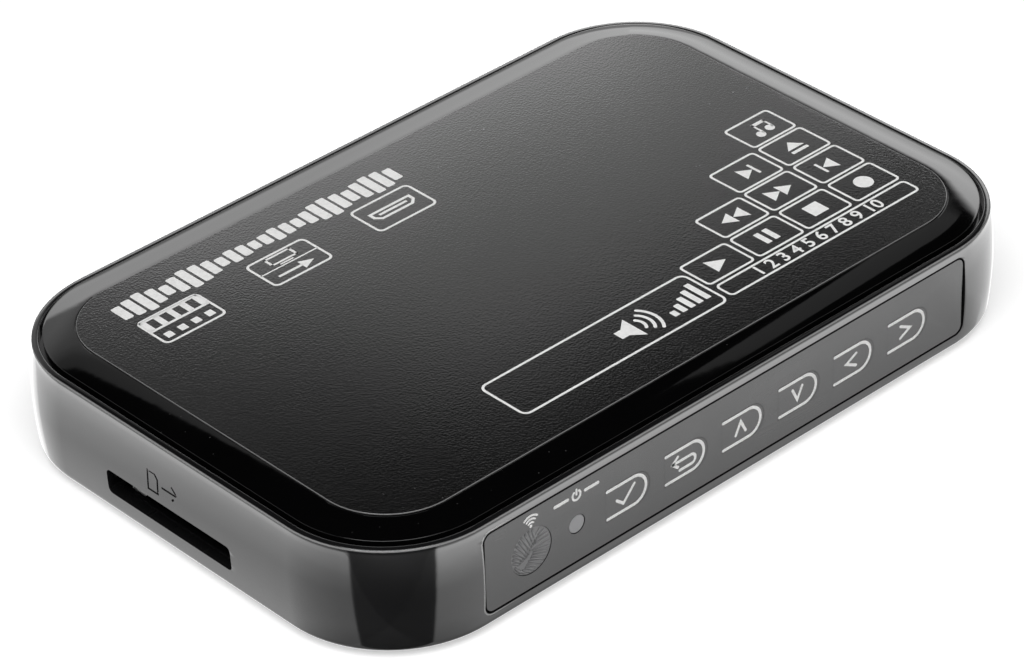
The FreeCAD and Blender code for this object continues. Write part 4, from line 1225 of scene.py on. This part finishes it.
def on_plate(piece, x=0.0, y=0.0):
    piece.location = (x * mm, y * mm, ink_low_z * mm)
    settle(piece)
    fit_out(piece, ink_white)


bars = [0.7, 0.85, 1.0, 0.75, 0.5, 0.8, 1.0, 0.9, 0.7, 0.45, 0.65, 0.55, 0.4, 0.5, 0.65, 0.55,
        0.45, 0.65, 0.9, 1.0, 0.8, 0.6, 0.85, 1.0, 0.9, 0.65]
row_low, row_high, row_left, row_right = 25.9, 30.9, -48.8, 2.8
pitch = (row_right - row_left) / len(bars)
centre_y = (row_low + row_high) / 2
outlines = []
for number, share in enumerate(bars):
    left = row_left + pitch * (number + 0.12)
    half = (row_high - row_low) / 2 * share
    outlines.append(rounded_outline(left, left + pitch * 0.76, centre_y - half, centre_y + half, 0.3, 3))
on_plate(flat_mark("sound_bars", outlines))

frames = [(-48.4, -37.5, 18.1, 25.1, 1.0), (-28.9, -18.1, 18.1, 25.1, 1.0), (-9.6, 1.5, 18.1, 25.1, 1.0),
          (-25.9, 12.6, -28.6, -19.3, 1.3), (13.4, 51.6, -28.2, -24.7, 0.9)]
columns = [(13.1, 22.3), (23.0, 32.2), (32.8, 42.0), (42.8, 51.8)]
rows = [(-24.2, -17.9), (-17.5, -11.1), (-10.8, -4.2), (-3.9, 2.6)]
small = []
for row, (y0, y1) in enumerate(rows):
    for x0, x1 in columns[row:]:
        small.append((x0, x1, y0, y1))
        frames.append((x0, x1, y0, y1, 0.8))
for number, (x0, x1, y0, y1, radius) in enumerate(frames):
    on_plate(frame_line(f"frame_{number + 1}", x0, x1, y0, y1, radius))


def disc(x, y, radius, steps=24):
    return [(x + radius * cos(2 * pi * n / steps), y + radius * sin(2 * pi * n / steps))
            for n in range(steps)]


def bar(x0, x1, y0, y1):
    return rounded_outline(x0, x1, y0, y1, 0.12, 2)


def stepped(sign, step):
    """The same outline, a step to the right."""
    return [(x + step, y) for x, y in sign]


play = [(-1.2, -1.6), (1.7, 0), (-1.2, 1.6)]
left_arrow = [(0.1, -1.4), (0.1, 1.4), (-2.1, 0)]
right_arrow = [(-0.1, 1.4), (-0.1, -1.4), (2.1, 0)]
small_signs = [
    [play],
    [bar(-1.3, -0.35, -1.5, 1.5), bar(0.35, 1.3, -1.5, 1.5)],
    [bar(-1.4, 1.4, -1.4, 1.4)],
    [disc(0, 0, 1.5)],
    [left_arrow, stepped(left_arrow, 2.3)],
    [stepped(right_arrow, -2.3), right_arrow],
    [stepped(left_arrow, 0.9), bar(-1.75, -1.3, -1.4, 1.4)],
    [stepped(right_arrow, -0.9), bar(1.3, 1.75, -1.4, 1.4)],
    [[(-1.6, -0.35), (1.6, -0.35), (0, 1.5)], bar(-1.6, 1.6, -1.45, -0.85)],
    [disc(-0.9, -1.1, 0.75), bar(-0.42, -0.1, -1.1, 1.6), disc(1.3, -0.7, 0.75),
     bar(1.78, 2.1, -0.7, 1.6), [(-0.42, 1.0), (2.1, 1.0), (2.1, 1.65), (-0.42, 1.65)]],
]
for number, (sign, (x0, x1, y0, y1)) in enumerate(zip(small_signs, small)):
    on_plate(flat_mark(f"sign_{number + 1}", sign), (x0 + x1) / 2, (y0 + y1) / 2)

# Signs in the three larger frames: a film strip, a screen and an arrow out of
# it, and a flat plug. At the right of the empty label: a loudspeaker.
film = [bar(-5.1, 5.1, 2.75, 3.2), bar(-5.1, 5.1, 0.1, 0.55)]
film += [bar(x - 0.5, x + 0.5, 0.5, 2.8) for x in (-4.6, -2.3, 0.0, 2.3, 4.6)]
film += [bar(x - 0.62, x + 0.62, -2.4, -1.1) for x in (-3.6, -1.2, 1.2, 3.6)]
on_plate(flat_mark("film_sign", film), -42.95, 21.6)
screen = [bar(-5.2, 5.2, -0.1, 0.14), bar(-2.4, 2.4, 2.55, 2.9), bar(-2.4, 2.4, 0.85, 1.2),
          bar(-2.4, -2.0, 0.85, 2.9), bar(2.0, 2.4, 0.85, 2.9), bar(-1.2, 1.2, 0.35, 0.62),
          bar(-3.4, 0.9, -1.95, -1.5), [(0.8, -2.75), (3.0, -1.72), (0.8, -0.7)]]
on_plate(flat_mark("screen_sign", screen), -23.5, 21.6)
plug = [[(-3.9, 1.15), (-3.9, -0.2), (-2.9, -1.15), (2.9, -1.15), (3.9, -0.2), (3.9, 1.15),
         (3.4, 1.15), (3.4, -0.05), (2.7, -0.7), (-2.7, -0.7), (-3.4, -0.05), (-3.4, 0.7),
         (3.39, 0.7), (3.39, 1.15)],
        bar(-2.6, 2.6, -0.15, 0.3)]
on_plate(flat_mark("plug_sign", plug), -4.05, 21.6)
sound = [[(-7.6, -0.9), (-6.3, -0.9), (-4.4, -2.5), (-4.4, 2.5), (-6.3, 0.9), (-7.6, 0.9)]]
sound += [stroke_outline(ring_arc(-4.6, 0, radius, -42, 42, 8), 0.5) for radius in (1.7, 2.9, 4.1)]
sound += [bar(x, x + 0.95, -2.2, high)
          for x, high in ((1.2, -0.9), (2.7, -0.1), (4.2, 0.8), (5.7, 1.6), (7.2, 2.4))]
on_plate(flat_mark("speaker_sign", sound), 3.3, -24.0)

bpy.ops.object.select_all(action="DESELECT")
bpy.ops.object.text_add()
numbers = bpy.context.object
numbers.name = "plain_numbers"
numbers.data.body = "1 2 3 4 5 6 7 8 9 10"
numbers.data.size = 3.1 * mm
numbers.data.space_character = 1.02
numbers.data.offset = 0.05 * mm
numbers.data.align_x = "CENTER"
numbers.data.align_y = "CENTER"
numbers.data.extrude = ink_depth / 2 * mm
bpy.ops.object.convert(target="MESH")
numbers = bpy.context.object
numbers.location = (32.5 * mm, -26.45 * mm, (ink_low_z + ink_depth / 2) * mm)
settle(numbers)
edit_all(numbers)
bpy.ops.mesh.remove_doubles(threshold=0.002 * mm)
face_out(numbers)
fit_out(numbers, ink_white)

# ------------------------------
# Cover screws: four plated steel screws with a domed head and a crossed
# recess, turned up through the base into the cover's bosses.
# ------------------------------
def set_out(first, places, name, finish, cad_node):
    """Copies a piece from the first place to the others, and finishes them all."""
    (first_x, first_y), others = places[0], places[1:]
    pieces = copied_along(first, [(x - first_x, y - first_y, 0) for x, y in others])
    for number, piece in enumerate(pieces):
        piece.name = piece.data.name = f"{name}_{number + 1}"
        fit_out(piece, finish, cad_node)


head_z = 1.3
screw = round_bar("cover_screw", screw_places[0], screw_radius, head_z, screw_seat_z, Z, 48)
edit(screw)
pick(screw, "EDGE", lambda e: middle(e).z < head_z + 0.01)
bpy.ops.mesh.bevel(offset=0.55 * mm, segments=5, affect="EDGES")
pick(screw, "FACE", lambda f: f.normal.z > 0.9)
bpy.ops.mesh.inset(thickness=0.9 * mm)
pull(0, 0, 11.0)
object_mode()
screw_x, screw_y = screw_places[0]
cross = [rounded_block("cross", (screw_x - half_x, screw_y - half_y, 0.5),
                       (screw_x + half_x, screw_y + half_y, 2.0), Z, 0.08, 2)
         for half_x, half_y in ((1.15, 0.22), (0.22, 1.15))]
cut_away(screw, cross)
soften(screw, 0.05, 2)
set_out(screw, screw_places, "cover_screw", screw_steel, "case_screws")

# ------------------------------
# Feet: four soft black rubber discs bonded in shallow pockets in the base.
# The edge that touches the table is rounded and the face is slightly dished.
# ------------------------------
foot = round_bar("foot", foot_places[0], foot_radius, 0, foot_top_z, Z)
edit(foot)
pick(foot, "FACE", lambda f: f.normal.z < -0.9)
bpy.ops.mesh.inset(thickness=1.0 * mm)
bpy.ops.mesh.inset(thickness=0.4 * mm)
shift(0, 0, 0.15)
object_mode()
soften(foot, 0.25, 3, 30)
foot_rubber = moulded("foot_rubber", (0.02, 0.02, 0.02), haze=0.75, ripple=1.5, wear=0.3)
set_out(foot, foot_places, "foot", foot_rubber, "rubber_feet")

# ------------------------------
# Floor: a wide pale table top. It takes the shadow, and shows white. Gloss
# looks through it to the cards that stand round the table, and sees them
# dimmer close to the front and the left: painted shade for the player's shade on its table.
# ------------------------------
def joined_shaders(tree, kind, *sources):
    """A shader node with these sources in its inputs, from the first one on."""
    made = node(tree, kind)
    for number, source in enumerate(sources):
        tree.links.new(source, made.inputs[number])
    return made.outputs[0]


def put_out(tree, source):
    """Makes a finish show this shader."""
    out = [n for n in tree.nodes if n.type == "OUTPUT_MATERIAL"][0]
    tree.links.new(source, out.inputs["Surface"])


bpy.ops.object.select_all(action="DESELECT")
bpy.ops.mesh.primitive_circle_add(vertices=96, radius=4, fill_type="NGON", location=(0, 0, 0))
floor = newest("floor")
table_white, tree, shader = new_finish("table_white")
place = object_place(tree)
tone = noise(tree, place, 3.0)
tree.links.new(mix_colour(tree, tone, (0.8, 0.8, 0.8), (0.84, 0.84, 0.84)), shader.inputs["Base Color"])
shader.inputs["Roughness"].default_value = 0.9
shader.inputs["Specular IOR Level"].default_value = 0.0
glow = node(tree, "ShaderNodeEmission", {"Strength": 0.5})
ray = node(tree, "ShaderNodeLightPath")
seen = sum_of(tree, "MAXIMUM", ray.outputs["Is Camera Ray"], ray.outputs["Is Transmission Ray"])
dark = node(tree, "ShaderNodeEmission", {"Strength": 0.0})
lit = joined_shaders(tree, "ShaderNodeMixShader", seen, dark.outputs[0], glow.outputs[0])
both = joined_shaders(tree, "ShaderNodeAddShader", shader.outputs["BSDF"], lit)
across, along_y = axes_of(tree, place)["X"], axes_of(tree, place)["Y"]
# Painted shade: close to the front and the left end, gloss sees the cards dimmer.
before = ramp_between(tree, along_y, -0.064, -0.045, 1.0, 0.62)
before = sum_of(tree, "MAXIMUM", before, ramp_between(tree, along_y, -0.0415, -0.0405))
before = sum_of(tree, "MAXIMUM", before, ramp_between(tree, across, 0.038, 0.06))
left = ramp_between(tree, across, -0.088, -0.0635, 1.0, 0.75)
left = sum_of(tree, "MAXIMUM", left, ramp_between(tree, across, -0.0632, -0.0622))
through = node(tree, "ShaderNodeBsdfTransparent")
tree.links.new(times(tree, before, left), through.inputs["Color"])
put_out(tree, joined_shaders(tree, "ShaderNodeMixShader", ray.outputs["Is Glossy Ray"], both,
                             through.outputs[0]))
dress(floor, table_white)

# ------------------------------
# Room: pale cards stand round the table, with a gap on the side where the
# camera stands. Above the table's edge they end low, and the ceiling is dark.
# ------------------------------
room = bpy.data.worlds.new("room")
bpy.context.scene.world = room
room.use_nodes = True
tree = room.node_tree
tree.nodes.clear()
way = axes_of(tree, node(tree, "ShaderNodeTexCoord").outputs["Generated"])


def steps_of(tree, source, low, high, stops, top):
    """A value that changes along a row of stops; top is the value of white."""
    made = node(tree, "ShaderNodeValToRGB")
    tree.links.new(ramp_between(tree, source, low, high), made.inputs["Fac"])
    stops = [((place - low) / (high - low), value / top) for place, value in stops]
    while len(made.color_ramp.elements) < len(stops):
        made.color_ramp.elements.new(0.5)
    for element, (place, value) in zip(made.color_ramp.elements, stops):
        element.position = place
        element.color = (value, value, value, 1)
    return times(tree, made.outputs["Color"], top)


by_height = steps_of(tree, way["Z"], -1.0, 1.0, [
    (-1.0, 0.5), (-0.78, 1.6), (-0.70, 2.7), (-0.57, 2.45), (-0.5, 3.3), (-0.41, 5.8), (-0.34, 6.6),
    (-0.28, 3.2), (-0.2, 2.0), (0.0, 1.6), (0.3, 1.6), (0.6, 1.2), (0.8, 0.0)], 8.0)
bearing = node(tree, "ShaderNodeMath", operation="ARCTAN2")
tree.links.new(way["Y"], bearing.inputs[0])
tree.links.new(way["X"], bearing.inputs[1])


def by_bearing(stops):
    """Steps round the compass: 0 degrees is the far end, and 90 the back."""
    return steps_of(tree, bearing.outputs[0], -pi, pi, [(radians(a), value) for a, value in stops], 2.0)


low_cards = by_bearing([
    (-180, 0.8), (-167, 0.8), (-165.5, 0.1), (-98, 0.1), (-96.5, 1.25), (-60, 1.25), (-44, 1.2),
    (-35, 1.05), (-26, 1.05), (0, 0.85), (20, 0.7), (60, 1.05), (108, 1.1), (122, 1.1), (180, 0.8)])
high_cards = by_bearing([
    (-180, 0.3), (-150, 0.0), (-100, 0.0), (-85, 0.3), (-35, 0.5), (-5, 0.0), (105, 0.0), (120, 0.3),
    (145, 0.5), (180, 0.3)])
below = ramp_between(tree, way["Z"], 0.02, -0.02)
share = sum_of(tree, "ADD", times(tree, low_cards, below),
               times(tree, high_cards, sum_of(tree, "SUBTRACT", 1.0, below)))
cards = node(tree, "ShaderNodeBackground")
tree.links.new(times(tree, by_height, share), cards.inputs["Strength"])
out = node(tree, "ShaderNodeOutputWorld")
tree.links.new(cards.outputs[0], out.inputs["Surface"])

# ------------------------------
# Five cards stand upright round the table. Only gloss sees them: two glow along
# the back and the right of the polished cover and fade out over the plate, one
# stands higher behind the right one, and two are dim, at the front and the left.
# ------------------------------


def upright_card(name, middle_x, middle_y, length, height, faces_side, stops):
    """A card that only gloss sees, glowing by its height above the table."""
    place = (middle_x, middle_y, 0.002 + height / 2)
    bpy.ops.object.select_all(action="DESELECT")
    bpy.ops.mesh.primitive_plane_add(size=1, location=place,
                                     rotation=(pi / 2, 0, pi / 2 if faces_side else 0))
    bpy.ops.transform.resize(value=(1 if faces_side else length, length if faces_side else 1, height),
                             center_override=place)
    card = newest(name)
    finish, tree, shader = new_finish(name)
    tree.nodes.remove(shader)
    at = axes_of(tree, object_place(tree))
    glow = node(tree, "ShaderNodeEmission")
    strength = steps_of(tree, at["Z"], 0.0, 0.4, stops, 12.0)
    if name == "back_card":
        # It ends in a slope, and its top dims towards the left.
        near = sum_of(tree, "MINIMUM", at["X"], 0.12)
        slope = sum_of(tree, "SUBTRACT", at["Z"], times(tree, near, 0.2))
        steep = sum_of(tree, "SUBTRACT", at["Z"], times(tree, at["X"], 0.8))
        strength = times(tree, strength, ramp_between(tree, at["X"], 0.10, 0.2, 0.83, 1.08),
                         ramp_between(tree, slope, 0.185, 0.189, 1.0, 0.0),
                         ramp_between(tree, steep, 0.079, 0.086, 1.0, 0.32))
    if name == "right_card":
        # Its front half is dim.
        strength = times(tree, strength, ramp_between(tree, at["Y"], -0.05, 0.02, 0.15, 1.0))
    tree.links.new(strength, glow.inputs["Strength"])
    put_out(tree, glow.outputs[0])
    dress(card, finish)
    for kind in ("camera", "diffuse", "shadow", "transmission"):
        setattr(card, "visible_" + kind, False)


upright_card("back_card", 0.17, 0.186, 0.56, 0.28, False, [
    (0.0, 0.5), (0.048, 0.8), (0.058, 2.3), (0.08, 2.7), (0.115, 3.5), (0.13, 3.1), (0.149, 2.0),
    (0.165, 1.05), (0.28, 0.9)])
upright_card("right_card", 0.2, 0.0, 0.37, 0.128, True, [
    (0.0, 0.5), (0.044, 0.8), (0.052, 2.1), (0.06, 2.3), (0.085, 3.6), (0.115, 3.8), (0.128, 0.4)])
upright_card("high_card", 0.205, 0.0825, 0.065, 0.275, True, [
    (0.0, 0.0), (0.14, 0.0), (0.155, 0.3), (0.275, 0.3)])
upright_card("front_card", 0.25, -0.25, 0.5, 0.33, False, [(0.0, 0.4), (0.1, 0.6), (0.33, 1.0)])
upright_card("left_card", -0.25, 0.26, 0.46, 0.33, True, [(0.0, 0.4), (0.1, 0.6), (0.33, 1.0)])

# ------------------------------
# Lamp: one large softbox high up on the side where the camera stands.
# ------------------------------
bpy.ops.object.light_add(type="AREA", location=(-0.27, -0.27, 0.82))
softbox = bpy.context.object
softbox.name = "softbox"
softbox.data.shape = "SQUARE"
softbox.data.size = 0.8
softbox.data.energy = 7.5
softbox.rotation_euler = softbox.location.to_track_quat("Z", "Y").to_euler()

# ------------------------------
# Camera: a long lens, looking down on the near left corner.
# ------------------------------
bpy.ops.object.camera_add(location=(-0.352501, -0.386255, 0.362075),
                          rotation=(radians(55.4708), radians(1.1212), radians(-43.8923)))
camera = bpy.context.object
camera.name = "camera"
camera.data.lens = 158.43
camera.data.sensor_width = 36
camera.data.shift_x = -0.0567
camera.data.shift_y = 0.01505
camera.data.clip_start = 0.01
bpy.context.scene.camera = camera
bpy.context.scene.view_settings.view_transform = "Standard"

import json
